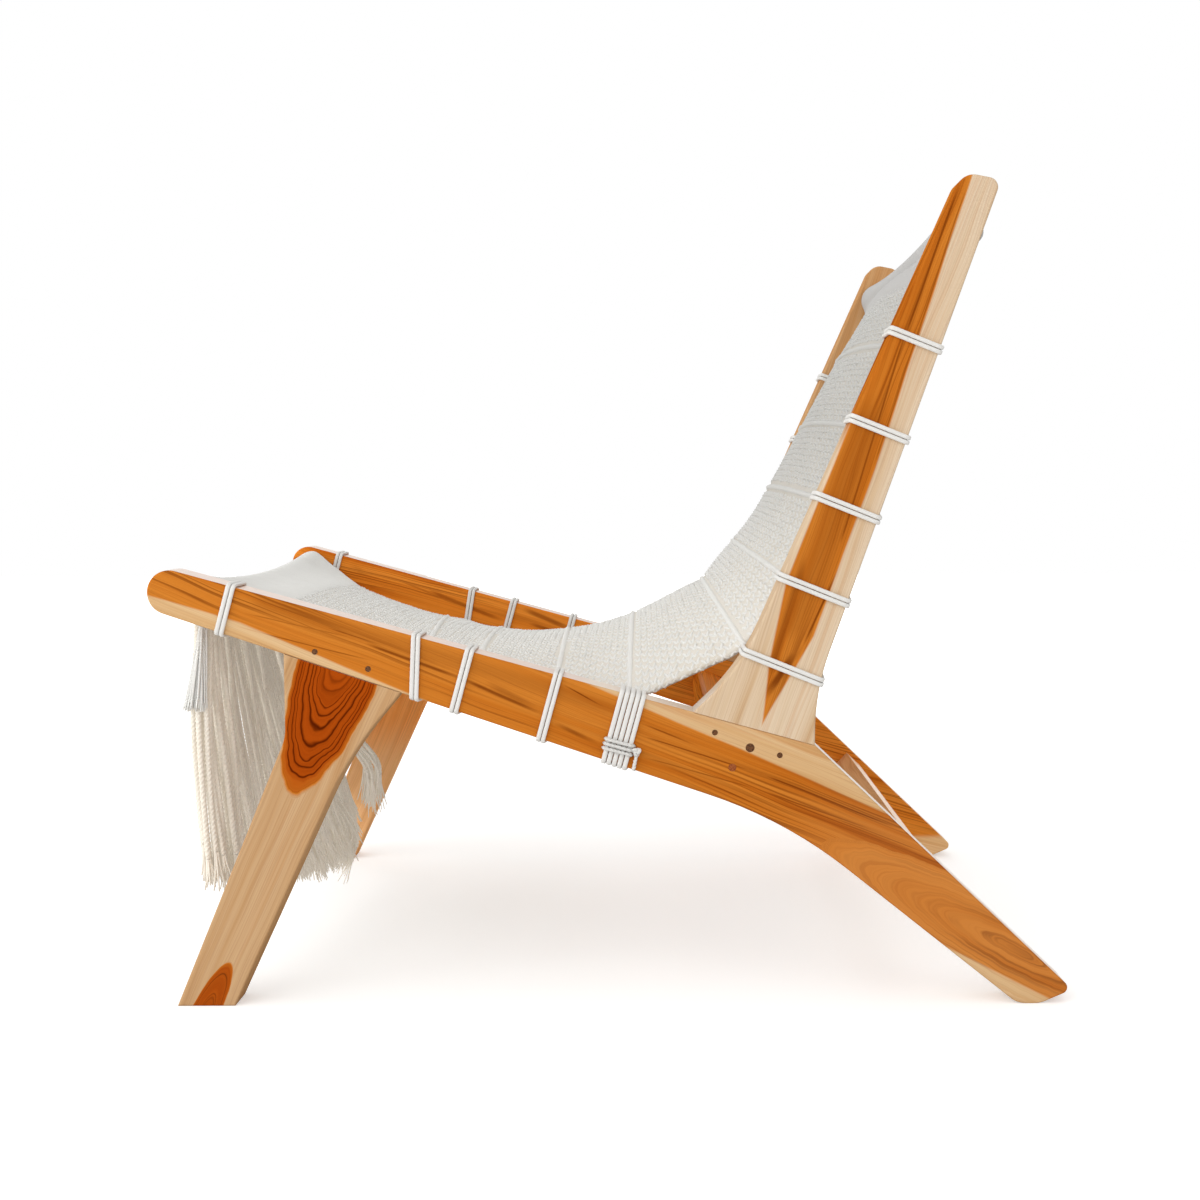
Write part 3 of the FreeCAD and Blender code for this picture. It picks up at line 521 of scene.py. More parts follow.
cotton = {
    "clean": tone(217, 216, 212),
    "shade": tone(204, 202, 197),
    # the top roll's tones are darker: painted shade on the top of the back, which the lamps light less
    "rollShadedClean": tone(203, 201, 198),
    "rollShadedDeep": tone(192, 189, 185),
    "fade": (0.30, 0.54, 1.10, 0.74),            # painted shade: two heights, and the sling's share of its tone there, darker higher up
    "laceClean": tone(217, 215, 211),
    "laceShade": tone(205, 202, 196),
    "fringeClean": tone(225, 218, 206),
    "fringeShade": tone(205, 191, 171),
    # painted light: a glow that brightens the shaded inside of the fringe
    "fringePaintedGlow": 0.17,
    "tuftClean": tone(228, 227, 223),
    "tuftShade": tone(214, 211, 206),
    # the web's darker tones are painted shade for the holes between the knots
    "web": tone(208, 203, 194),
    "webShadedDeep": tone(184, 172, 153),
    "fuzz": 1400.0,
    "roughness": 0.92,
    "sheen": 0.10,
}


# Fine noise for the fibres' tone and bump; a broad one lets whole stretches be a little greyer. With
# a fade the tone changes with the height, painted shade that darkens the upper back. Glow is painted
# light: an emission that brightens shaded cords, in place of light that soaks through loose cords
def makeCotton(name, clean, shade, fade=None, glow=0.0):
    material, tree, shader = newMaterial(name)
    place = objectPlace(tree)
    fine = noiseOf(tree, place, cotton["fuzz"], rough=0.6)
    worn = ramp(tree, noiseOf(tree, place, 14.0, 3.0), 0.5, 0.8, 0.0, 0.30)
    mixed = sums(tree, "ADD", ramp(tree, fine, 0.45, 0.85, 0.0, 0.55), worn)
    colour = blendTone(tree, mixed, clean, shade)
    if fade:
        colour = blendTone(tree, 1.0, colour, ramp(tree, axisOf(tree, place, 2), *fade), "MULTIPLY")
    bump = addNode(tree, "ShaderNodeBump", {"Strength": 0.35, "Distance": 0.0004, "Height": fine})
    feed(tree, shader, {
        "Base Color": colour, "Emission Color": colour, "Emission Strength": glow,
        "Roughness": cotton["roughness"], "Specular IOR Level": 0.1,
        "Sheen Weight": cotton["sheen"], "Sheen Roughness": 0.5, "Normal": bump.outputs[0]})
    return material


slingCotton = makeCotton("slingCotton", cotton["clean"], cotton["shade"], cotton["fade"])
shadedRollCotton = makeCotton("shadedRollCotton", cotton["rollShadedClean"], cotton["rollShadedDeep"], cotton["fade"])
shadedWebCotton = makeCotton("shadedWebCotton", cotton["web"], cotton["webShadedDeep"], cotton["fade"])
laceCotton = makeCotton("laceCotton", cotton["laceClean"], cotton["laceShade"])
fringeCotton = makeCotton("fringeCotton", cotton["fringeClean"], cotton["fringeShade"],
                          glow=cotton["fringePaintedGlow"])
tuftCotton = makeCotton("tuftCotton", cotton["tuftClean"], cotton["tuftShade"])


# Mesh makers. All sizes below are millimetres; a finished mesh is in metres, with its object at the
# origin. What would have more triangles than this becomes several objects

mostTriangles = 190000


# One object from several (points, quads, triangles), each counted from its own first point
def makePiece(name, parts, material):
    points, quads, triangles, first = [], [], [], 0
    for corners, fours, threes in parts:
        points.append(corners)
        quads.append(fours + first)
        triangles.append(threes + first)
        first += len(corners)
    points, quads, triangles = (np.concatenate(group) for group in (points, quads, triangles))
    mesh = bpy.data.meshes.new(name)
    mesh.vertices.add(len(points))
    mesh.vertices.foreach_set("co", (points * mm).astype(np.float32).ravel())
    mesh.loops.add(quads.size + triangles.size)
    corners = np.concatenate((quads.ravel(), triangles.ravel()))
    mesh.loops.foreach_set("vertex_index", corners.astype(np.int32))
    mesh.polygons.add(len(quads) + len(triangles))
    starts = np.concatenate((4 * np.arange(len(quads)), quads.size + 3 * np.arange(len(triangles))))
    mesh.polygons.foreach_set("loop_start", starts.astype(np.int32))
    mesh.polygons.foreach_set("use_smooth", np.ones(len(quads) + len(triangles), bool))
    mesh.update(calc_edges=True)
    mesh.validate()
    mesh.materials.append(material)
    piece = bpy.data.objects.new(name, mesh)
    bpy.context.scene.collection.objects.link(piece)
    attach(piece, "root")
    return piece


# Several such objects, none with more triangles than that
def inPieces(name, parts, material):
    groups, size = [[]], 0
    for part in parts:
        extra = 2 * len(part[1]) + len(part[2])
        if size + extra > mostTriangles:
            groups.append([])
            size = 0
        groups[-1].append(part)
        size += extra
    return [makePiece("%s%d" % (name, number), group, material)
            for number, group in enumerate(groups, 1)]


noTriangles = np.zeros((0, 3), int)


# Each vector divided by its length
def unitRows(vectors):
    return vectors / np.maximum(np.linalg.norm(vectors, axis=-1, keepdims=True), 1e-9)


# Length along a line of points, from 0 at its first
def runOf(path):
    return np.concatenate(((0,), np.cumsum(np.linalg.norm(np.diff(path, axis=0), axis=1))))


# Each point but the ends goes half way to the mean of its neighbours, a number of times
def smoothed(path, times):
    for step in range(times):
        path[1:-1] = 0.25 * path[:-2] + 0.5 * path[1:-1] + 0.25 * path[2:]
    return path


# Quads of a grid of points, row by row; closed joins the last column to the first
def gridFaces(rows, columns, closed=False):
    row, column = np.meshgrid(np.arange(rows - 1), np.arange(columns if closed else columns - 1),
                              indexing="ij")
    following = (column + 1) % columns
    return np.stack((row * columns + column, row * columns + following,
                     (row + 1) * columns + following, (row + 1) * columns + column), -1).reshape(-1, 4)


# A profile carried along a path. At each point the profile stands square to the path: its first
# corner lies in the direction towards, turned by turn; radius may change along the path, outline
# is each corner's share of it, the same everywhere or a row for each point, and squash scales it
# towards and square to that direction. Both ends are closed with a fan
def tube(path, towards, radius, outline=None, sides=8, turn=0.0, squash=(1.0, 1.0)):
    path = np.asarray(path, float)
    count = len(path)
    ahead = unitRows(np.gradient(path, axis=0))
    towards = np.broadcast_to(np.asarray(towards, float), path.shape)
    first = unitRows(towards - (towards * ahead).sum(1, keepdims=True) * ahead)
    second = np.cross(ahead, first)
    outline = np.ones(sides) if outline is None else np.asarray(outline)
    sides = outline.shape[-1]
    angle = 2 * np.pi * np.arange(sides) / sides + np.broadcast_to(turn, count)[:, None]
    reach = np.broadcast_to(radius, count)[:, None] * outline
    rings = path[:, None] + (squash[0] * reach * np.cos(angle))[..., None] * first[:, None] \
        + (squash[1] * reach * np.sin(angle))[..., None] * second[:, None]
    points = np.concatenate((rings.reshape(-1, 3), path[:1], path[-1:]))
    corner = np.arange(sides)
    following = (corner + 1) % sides
    start, end = np.full(sides, count * sides), np.full(sides, count * sides + 1)
    last = (count - 1) * sides
    caps = np.concatenate((np.stack((start, following, corner), 1),
                           np.stack((end, last + corner, last + following), 1)))
    return points, gridFaces(count, sides, True), caps


# Cords: a flat one has a rounded oblong section with faint strands, a rope has three deep ones

cord = {"sides": 12, "strandDepth": 0.26, "flatDepth": 0.10, "flatSpacing": 2.0}
cordAngle = 2 * np.pi * np.arange(cord["sides"]) / cord["sides"]


# A profile's share at these angles: 1 on the three strands, 1 - depth between them
def threeStrands(angle, depth):
    return 1 - depth * (1 - np.abs(np.cos(1.5 * angle)))


# A flat cord: its section is |cos|^4 + |sin|^4 = 1, and its strands go round it once in every pitch
def flatCord(path, towards, radius, pitch, phase, squash):
    path = evenly(path, cord["flatSpacing"])
    oblong = (np.abs(np.cos(cordAngle)) ** 4 + np.abs(np.sin(cordAngle)) ** 4) ** -0.25
    turned = cordAngle - (2 * np.pi * runOf(path) / pitch + phase)[:, None]
    return tube(path, towards, radius, oblong * threeStrands(turned, cord["flatDepth"]), squash=squash)


# A three-strand cord: the three-lobed profile turns once in every pitch along the path
def rope(path, towards, radius, pitch, spacing=1.7, phase=0.0):
    path = evenly(path, spacing)
    run = runOf(path)
    if np.ndim(radius):
        radius = np.interp(run, np.linspace(0, run[-1], len(radius)), radius)
    return tube(path, towards, radius, threeStrands(cordAngle, cord["strandDepth"]),
                turn=2 * np.pi * run / pitch + phase)


# The same line with its points spacing apart, straight between the old ones
def evenly(path, spacing):
    path = np.asarray(path, float)
    run = runOf(path)
    wanted = np.linspace(0, run[-1], max(3, int(run[-1] / spacing) + 1))
    return np.stack([np.interp(wanted, run, path[:, axis]) for axis in range(3)], 1)


# Straight runs whose corners are bends: each leaves its run a reach before the corner and meets
# the next one a reach after it, on the curve (1-t)^2 before + 2t(1-t) corner + t^2 after
def bentRuns(corners, reach):
    corners = np.asarray(corners, float)
    t = np.linspace(0, 1, 9)[:, None]
    line = [corners[:1]]
    for before, corner, after in zip(corners[:-2], corners[1:-1], corners[2:]):
        enter = corner + reach * unitRows(before - corner)
        leave = corner + reach * unitRows(after - corner)
        line.append((1 - t) ** 2 * enter + 2 * t * (1 - t) * corner + t ** 2 * leave)
    line.append(corners[-1:])
    return np.concatenate(line)


# The sling's surface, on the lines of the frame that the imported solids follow

sideFrame = {
    "outerX": 312.5, "innerX": 274.5, "noseTop": (-420.0, 407.3), "knee": (184.0, 240.2), "toeY": 73.5,
    "postFront": (116.9, 311.7), "postTop": (313.5, 752.7), "backStartShare": 0.2,
    "backOver": 10.0,                            # the back's run goes on past the top bar
    "postRear": ((184.0, 289.2), (347.7, 745.9)),
    "frontBar": (-394.0, 376.0), "frontDip": 11.0, "topBar": (320.0, 707.0), "topDip": 8.0,
}
sling = {
    "drop": 36.0, "crown": 58.0, "thickness": 8.0, "lacedEdge": 262.8, "freeInset": 22.0,
    "rows": (                                    # plank, run, lift, turn, crown and slack shares
        ("seat", 0.030, -0.24, 0.00, -0.18, 0.30), ("seat", 0.108, -0.62, 0.00, 0.08, 0.00),
        ("seat", 0.190, -0.85, 0.00, 0.19, 0.80), ("seat", 0.280, -0.98, 0.00, 0.25, 1.00),
        ("seat", 0.375, -1.05, 0.00, 0.28, 0.90), ("seat", 0.463, -1.00, 0.00, 0.30, 0.00),
        ("seat", 0.515, -1.02, 0.00, 0.34, 0.50), ("seat", 0.567, -0.99, 0.00, 0.41, 0.00),
        ("seat", 0.652, -0.95, 0.00, 0.57, 0.90), ("seat", 0.737, -0.87, 0.05, 0.79, 0.00),
        ("seat", 0.808, -0.70, 0.10, 0.96, 0.70), ("seat", 0.880, -0.26, 0.18, 1.03, 0.00),
        ("seat", 0.950, 0.47, 0.29, 1.02, 0.90), ("seat", 1.015, 1.21, 0.43, 1.01, 0.90),
        ("back", 0.137, 0.02, 0.60, 1.00, 0.00), ("back", 0.212, -0.14, 0.75, 0.90, 0.80),
        ("back", 0.287, -0.20, 0.87, 0.75, 0.00), ("back", 0.367, -0.22, 0.95, 0.60, 1.00),
        ("back", 0.447, -0.24, 1.00, 0.53, 0.00), ("back", 0.524, -0.32, 1.00, 0.52, 1.00),
        ("back", 0.601, -0.42, 1.00, 0.53, 0.00), ("back", 0.688, -0.52, 1.00, 0.54, 1.00),
        ("back", 0.774, -0.60, 1.00, 0.52, 0.00), ("back", 0.848, -0.61, 1.00, 0.44, 0.60),
        ("back", 0.920, -0.53, 1.00, 0.30, 0.40), ("back", 0.985, -0.33, 1.00, 0.07, 0.30),
    ),
    "seatLaceRows": (1, 5, 7, 9, 11), "backLaceRows": (14, 16, 18, 20, 22),
    "bundleRow": 11, "slantedRow": 5, "rightLead": 0.4, "sway": 3.0,
    "smoothFront": 58.0, "smoothTop": 36.0,      # plain cords before the first and after the last knot
    "knotPitch": 12.9, "rowPitch": 6.5, "cordRadius": 1.65,
    "webHalf": 2.3, "webEdge": 0.984, "webOver": 6.0, "webGrid": (240, 90),
    "openFront": 300.0,                          # the weave is more open up to here
    "beforeRidge": 3.4, "afterRidge": 4.6,       # no knots this near to a ridge
    "edgeKnot": (0.3, 0.62),                     # place from the edge in knots, and size
    "crossing": 1.15,                            # how far a knot's cord swings along the sling
    "uneven": {"size": 0.045, "along": 0.05, "deep": 0.03, "lean": 0.10, "place": 0.35},
}

noseTop, knee = np.array(sideFrame["noseTop"]), np.array(sideFrame["knee"])
postFront, postTop = np.array(sideFrame["postFront"]), np.array(sideFrame["postTop"])
railAlong = unitRows(knee - noseTop)
railUp = np.array((-railAlong[1], railAlong[0]))
postAlong = unitRows(postTop - postFront)
postForward = np.array((-postAlong[1], postAlong[0]))


# The point (y, z) of the rail's straight top edge, z = nose + (y - nose) * slope
def railTopAt(y):
    return np.array((y, noseTop[1] + (y - noseTop[0]) * railAlong[1] / railAlong[0]))


seatStart = railTopAt(sideFrame["frontBar"][0])
seatRun = (sideFrame["toeY"] - seatStart[0]) / railAlong[0]
backStartZ = railTopAt(sideFrame["toeY"])[1] * (1 - sideFrame["backStartShare"]) \
    + railTopAt(knee[0])[1] * sideFrame["backStartShare"]
backStart = postFront + postAlong * (backStartZ - postFront[1]) / postAlong[1]
backRun = (sideFrame["topBar"][1] - backStartZ) / postAlong[1] + sideFrame["backOver"]
seatLean = math.atan2(railUp[1], railUp[0])
backLean = math.atan2(postForward[1], postForward[0])


# A row's edge is run along its plank's edge and lift * drop off it; crown and slack scale the bow and
# how far the free edge stays in from the plank
def rowMeasures(plankName, run, lift, turn, crown, slack):
    if plankName == "seat":
        edge = seatStart + railAlong * run * seatRun + railUp * lift * sling["drop"]
    else:
        edge = backStart + postAlong * run * backRun + postForward * lift * sling["drop"]
    inset = sideFrame["innerX"] - sling["lacedEdge"]
    inset += slack * (sling["freeInset"] - inset)
    return (edge[0], edge[1], seatLean + turn * (backLean - seatLean), crown * sling["crown"],
            sideFrame["innerX"] - inset)


slingRows = np.array([rowMeasures(*row) for row in sling["rows"]])


# Edge y and z, lean, crown and half width at a place counted in rows: the cubic curve that passes
# every row, from the row before, the two beside and the row after
def measuresAt(place):
    index = np.clip(np.floor(place).astype(int), 0, len(slingRows) - 2)
    t = (place - index)[..., None]
    a, b, c, d = (slingRows[np.clip(index + k, 0, len(slingRows) - 1)] for k in (-1, 0, 1, 2))
    found = b + 0.5 * t * (c - a + t * (2 * a - 5 * b + 4 * c - d + t * (3 * (b - c) + d - a)))
    found[..., 4] = np.minimum(found[..., 4], sling["lacedEdge"])
    return found


# How many rows the right edge is ahead of the left one; it fades out up to the wide bundle
def rightLead(place):
    fade = (sling["bundleRow"] - place) / (sling["bundleRow"] - sling["seatLaceRows"][-2])
    return sling["rightLead"] * np.clip(fade, 0, 1)


# From the middle to the laced edge, on the right where side is negative
def halfWidth(place, side):
    return measuresAt(place + np.where(side < 0, rightLead(place), 0))[..., 4]


# Middle of the sling's thickness. Across runs from -1, the right edge, to 1, the left one. The section
# is the circle through (-R, 0), (0, crown) and (L, 0): with h = (L + R) / 2 and middle m = (L - R) / 2
# its centre lies at c = (m^2 + crown^2 - h^2) / (2 crown), and the rise is
# c +- sqrt(h^2 + c^2 - (x - m)^2)
def slingMiddle(place, across):
    place, across = np.broadcast_arrays(np.asarray(place, float), np.asarray(across, float))
    edgeY, edgeZ, lean, crown, half = np.moveaxis(measuresAt(place), -1, 0)
    right = halfWidth(place, np.full(place.shape, -1))
    x = across * np.where(across < 0, right, half)
    bow = np.where(crown < 0, -1, 1) * np.maximum(np.abs(crown), 0.01)
    h, m = 0.5 * (half + right), 0.5 * (half - right)
    centre = (m ** 2 + bow ** 2 - h ** 2) / (2 * bow)
    rise = centre + np.sign(bow) * np.sqrt(h ** 2 + centre ** 2 - (x - m) ** 2)
    rise = rise - 0.5 * sling["thickness"] + edgeSway(place, across)
    return np.stack((x, edgeY + rise * np.cos(lean), edgeZ + rise * np.sin(lean)), -1)


# Near its edges the sling is drawn up a little at each lace and sags between two of them:
# sway = reach * |across|^8 * (exp(-(rows to the lace / 0.45)^2) - 0.4), measured along the lean
def edgeSway(place, across):
    lead = np.where(across < 0, rightLead(place), 0)
    near = np.abs((place + lead)[..., None] - np.array(laceRows, float)).min(-1)
    return sling["sway"] * np.abs(across) ** 8 * (np.exp(-(near / 0.45) ** 2) - 0.4)


# Length along the sling: the mean of its middle and of a line nearer its edge
laceRows = sling["seatLaceRows"] + sling["backLaceRows"]
placeSteps = np.linspace(0, len(slingRows) - 1, 2600)
runs = [runOf(slingMiddle(placeSteps, np.full_like(placeSteps, share))) for share in (0.0, 0.75)]
lengthSteps = 0.5 * (runs[0] + runs[1])
slingLength = lengthSteps[-1]


# The place in rows at a length along the sling
def placeOf(length):
    return np.interp(length, lengthSteps, placeSteps)


# A point over the sling's middle surface, height along the surface's own outward normal
def slingPoint(length, across, height=0.0):
    def middle(l, a):
        return slingMiddle(placeOf(l), a)
    length, across = np.broadcast_arrays(np.asarray(length, float), np.asarray(across, float))
    alongX = middle(length, np.clip(across + 0.004, -1, 1)) \
        - middle(length, np.clip(across - 0.004, -1, 1))
    alongL = middle(length + 0.6, across) - middle(length - 0.6, across)
    return middle(length, across) + unitRows(np.cross(alongX, alongL)) * np.asarray(height)[..., None]


print("sling length", round(slingLength), "mm")


# A closed wall between two grids of points with the same rows and columns
def shell(outer, inner):
    rows, columns = outer.shape[:2]
    count = rows * columns
    faces = gridFaces(rows, columns)
    ring = np.concatenate((np.arange(columns - 1), np.arange(rows - 1) * columns + columns - 1,
                           (rows - 1) * columns + np.arange(columns - 1, 0, -1),
                           np.arange(rows - 1, 0, -1) * columns))
    following = np.roll(ring, -1)
    rim = np.stack((following, ring, ring + count, following + count), 1)
    points = np.concatenate((outer.reshape(-1, 3), inner.reshape(-1, 3)))
    return points, np.concatenate((faces, faces[:, ::-1] + count, rim)), noTriangles


# Web: the layer of crossing cords between the knots, seen only through the small holes; its darker tone
# is painted shade for those holes
knotStart, knotEnd = sling["smoothFront"], slingLength - sling["smoothTop"]
webLengths = np.linspace(knotStart - sling["webOver"], knotEnd + sling["webOver"],
                         sling["webGrid"][0])[:, None]
webAcross = np.linspace(-sling["webEdge"], sling["webEdge"], sling["webGrid"][1])[None, :]
webSides = [slingPoint(webLengths, webAcross, side * sling["webHalf"]) for side in (1, -1)]
web = makePiece("slingWeb", [shell(*webSides)], shadedWebCotton)


# Length along the sling of the line between the laces of one row, on the right a little ahead
def ridgeLength(row, across):
    lead = rightLead(np.array(float(row))) * (2.0 if row == sling["slantedRow"] else 1.0)
    return np.interp(row - lead * 0.5 * (1 - across), placeSteps, lengthSteps)


# Knots: each square knot is two loops round the cords under it, leaning opposite ways. Rows take turns
# half a knot to the side. Seen along the sling a loop is the ellipse (wide cos t, deep sin t); along
# it the loop swings by sin 2t. Its cord has four corners
def knotShape():
    bends, cordSides = 8, 4
    turn = np.linspace(0, 2 * np.pi, bends, endpoint=False)[None, :, None]
    round4 = (2 * np.pi / cordSides * np.arange(cordSides))[None, None, :]
    side = np.array((-1.0, 1.0))[:, None, None]
    radius = sling["cordRadius"]
    wide, deep = 0.5 * sling["knotPitch"] - radius, 0.5 * sling["thickness"] - radius
    radial = unitRows(np.stack(np.broadcast_arrays(deep * np.cos(turn), wide * np.sin(turn)), -1))
    across = wide * np.cos(turn) + radius * np.cos(round4) * radial[..., 0]
    height = deep * np.sin(turn) + radius * np.cos(round4) * radial[..., 1]
    along = side * (0.25 * sling["rowPitch"] - sling["crossing"] * np.sin(2 * turn)) \
        + radius * np.sin(round4)
    corners = np.stack(np.broadcast_arrays(across, along, height), -1).reshape(-1, 3)
    loop = bends * cordSides
    around = np.mod(gridFaces(bends + 1, cordSides, True), loop)
    return corners, np.concatenate((around, around + loop))


knotCorners, knotFaces = knotShape()
rowCount = int((knotEnd - knotStart) / sling["rowPitch"])
columnCount = int(2 * sling["lacedEdge"] / sling["knotPitch"])
edgePlace, edgeSize = sling["edgeKnot"]
places = []                                      # length, across and size of every knot
for row in range(rowCount + 1):
    length = knotStart + row * (knotEnd - knotStart) / rowCount
    shares = (np.arange(columnCount) + 0.5 if row % 2 else
              np.concatenate(((edgePlace,), np.arange(1, columnCount), (columnCount - edgePlace,))))
    shares = shares / columnCount
    atEdge = (shares < 0.5 / columnCount) | (shares > 1 - 0.5 / columnCount)
    places.append(np.stack((np.full(len(shares), length), 2 * shares - 1,
                            np.where(atEdge, edgeSize, 1.0)), 1))
places = np.concatenate(places)
fromRidge = np.stack([places[:, 0] - ridgeLength(row, places[:, 1]) for row in laceRows], 1)
nearest = np.take_along_axis(fromRidge, np.abs(fromRidge).argmin(1)[:, None], 1)[:, 0]
places = places[(nearest < -sling["beforeRidge"]) | (nearest > sling["afterRidge"])]
count, uneven = len(places), sling["uneven"]
openness = np.clip((sling["openFront"] - places[:, 0]) / 60, 0, 1)
size = dice.normal(1.0, uneven["size"], count) * places[:, 2]
wideShare = (size * (1.0 - 0.06 * openness))[:, None]
alongShare = (dice.normal(1.0, uneven["along"], count))[:, None]
deepShare = (size + dice.normal(0.0, uneven["deep"], count))[:, None]
lean = dice.normal(0.0, uneven["lean"], count)[:, None]
straying = dice.normal(0.0, uneven["place"], (count, 2))
a, l, h = knotCorners.T
across = a * wideShare + l * lean + straying[:, :1]
along = l * alongShare - a * lean + straying[:, 1:]
half = halfWidth(placeOf(places[:, 0]), places[:, 1])[:, None]
across = np.clip(places[:, 1:2] * (1 - 2.0 / half) + across / half, -1, 1)
knotPoints = slingPoint(places[:, :1] + along, across, h * deepShare)
order = np.argsort(places[:, 0], kind="stable")
pieceCount = max(1, -(-count * len(knotFaces) * 2 // mostTriangles))
for number, group in enumerate(np.array_split(order, pieceCount), 1):
    faces = (knotFaces[None] + (np.arange(len(group)) * len(knotCorners))[:, None, None]).reshape(-1, 4)
    part = (knotPoints[group].reshape(-1, 3), faces, noTriangles)
    makePiece("slingKnots%d" % number, [part], slingCotton)
print("sling has", count, "knots")

# Ridges: at each pair of laces a cord crosses the sling, wrapped by every cord that it meets. Its
# section is an ellipse, and it swells at every wrap: 1 - 0.15 (1 - |sin(pi x / wrap)|)
ridge = {"high": 5.3, "wide": 3.2, "wrap": 3.25, "swell": 0.15, "waves": (0.05, 9.0), "spacing": 0.8,
         "sides": 10}
ridgeAngle = np.arange(ridge["sides"]) * 2 * math.pi / ridge["sides"]
ridgeOutline = ridge["high"] / np.hypot(ridge["high"] / ridge["wide"] * np.sin(ridgeAngle),
                                        np.cos(ridgeAngle))
ridgeParts = []
for row in laceRows[1:]:                         # the first laces hold plain cords
    share = np.linspace(-1, 1, int(2 * sling["lacedEdge"] / ridge["spacing"]))
    line = ridgeLength(row, share)
    middle = slingPoint(line, share)
    x = share * sling["lacedEdge"]
    wrap = 1 - ridge["swell"] * (1 - np.abs(np.sin(np.pi * x / ridge["wrap"])))
    wrap *= 1 + ridge["waves"][0] * np.sin(x / ridge["waves"][1] + row)
    ridgeParts.append(tube(middle, slingPoint(line, share, 1.0) - middle, wrap, ridgeOutline))
ridges = makePiece("slingRidges", ridgeParts, slingCotton)


# Rolls: the sling's cords lie side by side, go round the bar and come back under the sling

rolls = {
    "cordPitch": 3.1, "cordRadius": 1.55, "wall": 3.4, "endPlay": 2.0,
    "under": 8.0, "dive": 3.0,                   # how far the cords go under the first knots
    "perCord": 4,                                # points across a cord
    "front": {"end": 20.5, "middle": 17.0, "from": 62.0, "to": 318.0},
    "top": {"end": 20.0, "middle": 20.0, "from": 205.0, "to": -35.0},
}


# How far a bar bent to a circle that dips by dip in its middle lies below its ends
def archDrop(x, dip):
    half = sideFrame["innerX"]
    bend = (half ** 2 + dip ** 2) / (2 * dip)
    return dip - (bend - np.sqrt(bend ** 2 - x ** 2))


# The profile leaves the last knots along the sling's top, goes round the bar on a circle and comes
# back under the sling; it is smoothed along its run. Carried across, it is raised by a half circle
# for every cord, and each cord wanders a little
def makeRoll(name, form, bar, dip, smooth, atFront, material):
    halfRoll = sideFrame["innerX"] - rolls["endPlay"]
    cords = int(2 * halfRoll / rolls["cordPitch"])
    x = np.linspace(-halfRoll, halfRoll, rolls["perCord"] * cords + 1)
    share = x / halfRoll
    away = np.linspace(smooth + rolls["under"], 10, 16)
    flat = away if atFront else slingLength - away
    dive = rolls["dive"] * np.clip((away - smooth + 1) / rolls["under"], 0, 1)
    skin = (0.5 * sling["thickness"] - rolls["cordRadius"] - dive)[:, None] + 0 * x
    over = slingPoint(flat[:, None], share[None, :], skin)
    under = slingPoint(flat[::-1, None], share[None, :], -0.5 - skin[::-1])
    turn = np.radians(np.linspace(form["from"], form["to"], 34))[:, None]
    radius = form["middle"] + (form["end"] - form["middle"]) * share ** 2 - rolls["cordRadius"]
    barZ = bar[1] - archDrop(x, dip)
    around = np.stack(np.broadcast_arrays(
        x[None, :], bar[0] + radius * np.cos(turn), barZ + radius * np.sin(turn)), -1)
    loop = smoothed(np.concatenate((over, around, under)), 4)
    ahead = unitRows(np.gradient(loop, axis=0))
    sideways = np.zeros_like(ahead)
    sideways[..., 0] = 1.0
    outward = -unitRows(np.cross(sideways, ahead))
    inner = loop + outward * (-rolls["wall"] + rolls["cordRadius"])
    number = np.arange(len(x))
    phase = np.mod(number, rolls["perCord"]) / rolls["perCord"]
    height = rolls["cordRadius"] * np.sqrt(1 - (2 * np.abs(phase - 0.5)) ** 2)
    high = dice.normal(1.0, 0.10, cords + 1)[number // rolls["perCord"]]
    outer = loop + outward * (height * high)[None, :, None]
    return makePiece(name, [shell(outer, inner)], material)


frontRoll = makeRoll("slingFrontRoll", rolls["front"], sideFrame["frontBar"], sideFrame["frontDip"],
                     sling["smoothFront"], True, slingCotton)
topRoll = makeRoll("slingTopRoll", rolls["top"], sideFrame["topBar"], sideFrame["topDip"],
                   sling["smoothTop"], False, shadedRollCotton)
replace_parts(frontRoll, "macrame_sling")
print("the sling is knotted and rolled round its bars")


# Laces: one flat cord each, twice round the plank; the widest goes round five times

lace = {
    "halfThick": 1.6, "halfWide": 2.02, "bundleWide": 2.2, "gap": 0.1, "twist": 15.0, "corner": 4.2,
    "pitch": 4.5, "bundlePitch": 5.0, "turns": 2, "bundleTurns": 5,
    "leftSlant": 13.0, "rightSlant": 24.0, "rightTie": -16.0,    # of the slanted pair
    "inEdge": 3.0,                               # where both ends start inside the sling's edge
    "gather": (0.4, 0.3),                        # they start nearer to each other, by these shares
}


# Lowest and highest crossing of a plank by the line through place, by casting from both ends
def plankSpan(tree, place, across):
    x, reach = 0.5 * (sideFrame["innerX"] + sideFrame["outerX"]), 400.0
    found = []
    for sign in (-1, 1):
        start = place + across * reach * sign
        hit = tree.ray_cast(Vector((x * mm, start[0] * mm, start[1] * mm)),
                            Vector((0, -sign * across[0], -sign * across[1])))
        found.append((np.array(hit[0])[1:] / mm - place) @ across)
    return found


# The sling's edge in its middle plane, (y, z), where a lace is tied
def laceTie(place):
    edgeY, edgeZ, lean = measuresAt(np.array(float(place)))[:3]
    inward = np.array((math.cos(lean), math.sin(lean)))
    return np.array((edgeY, edgeZ)) - 0.5 * sling["thickness"] * inward


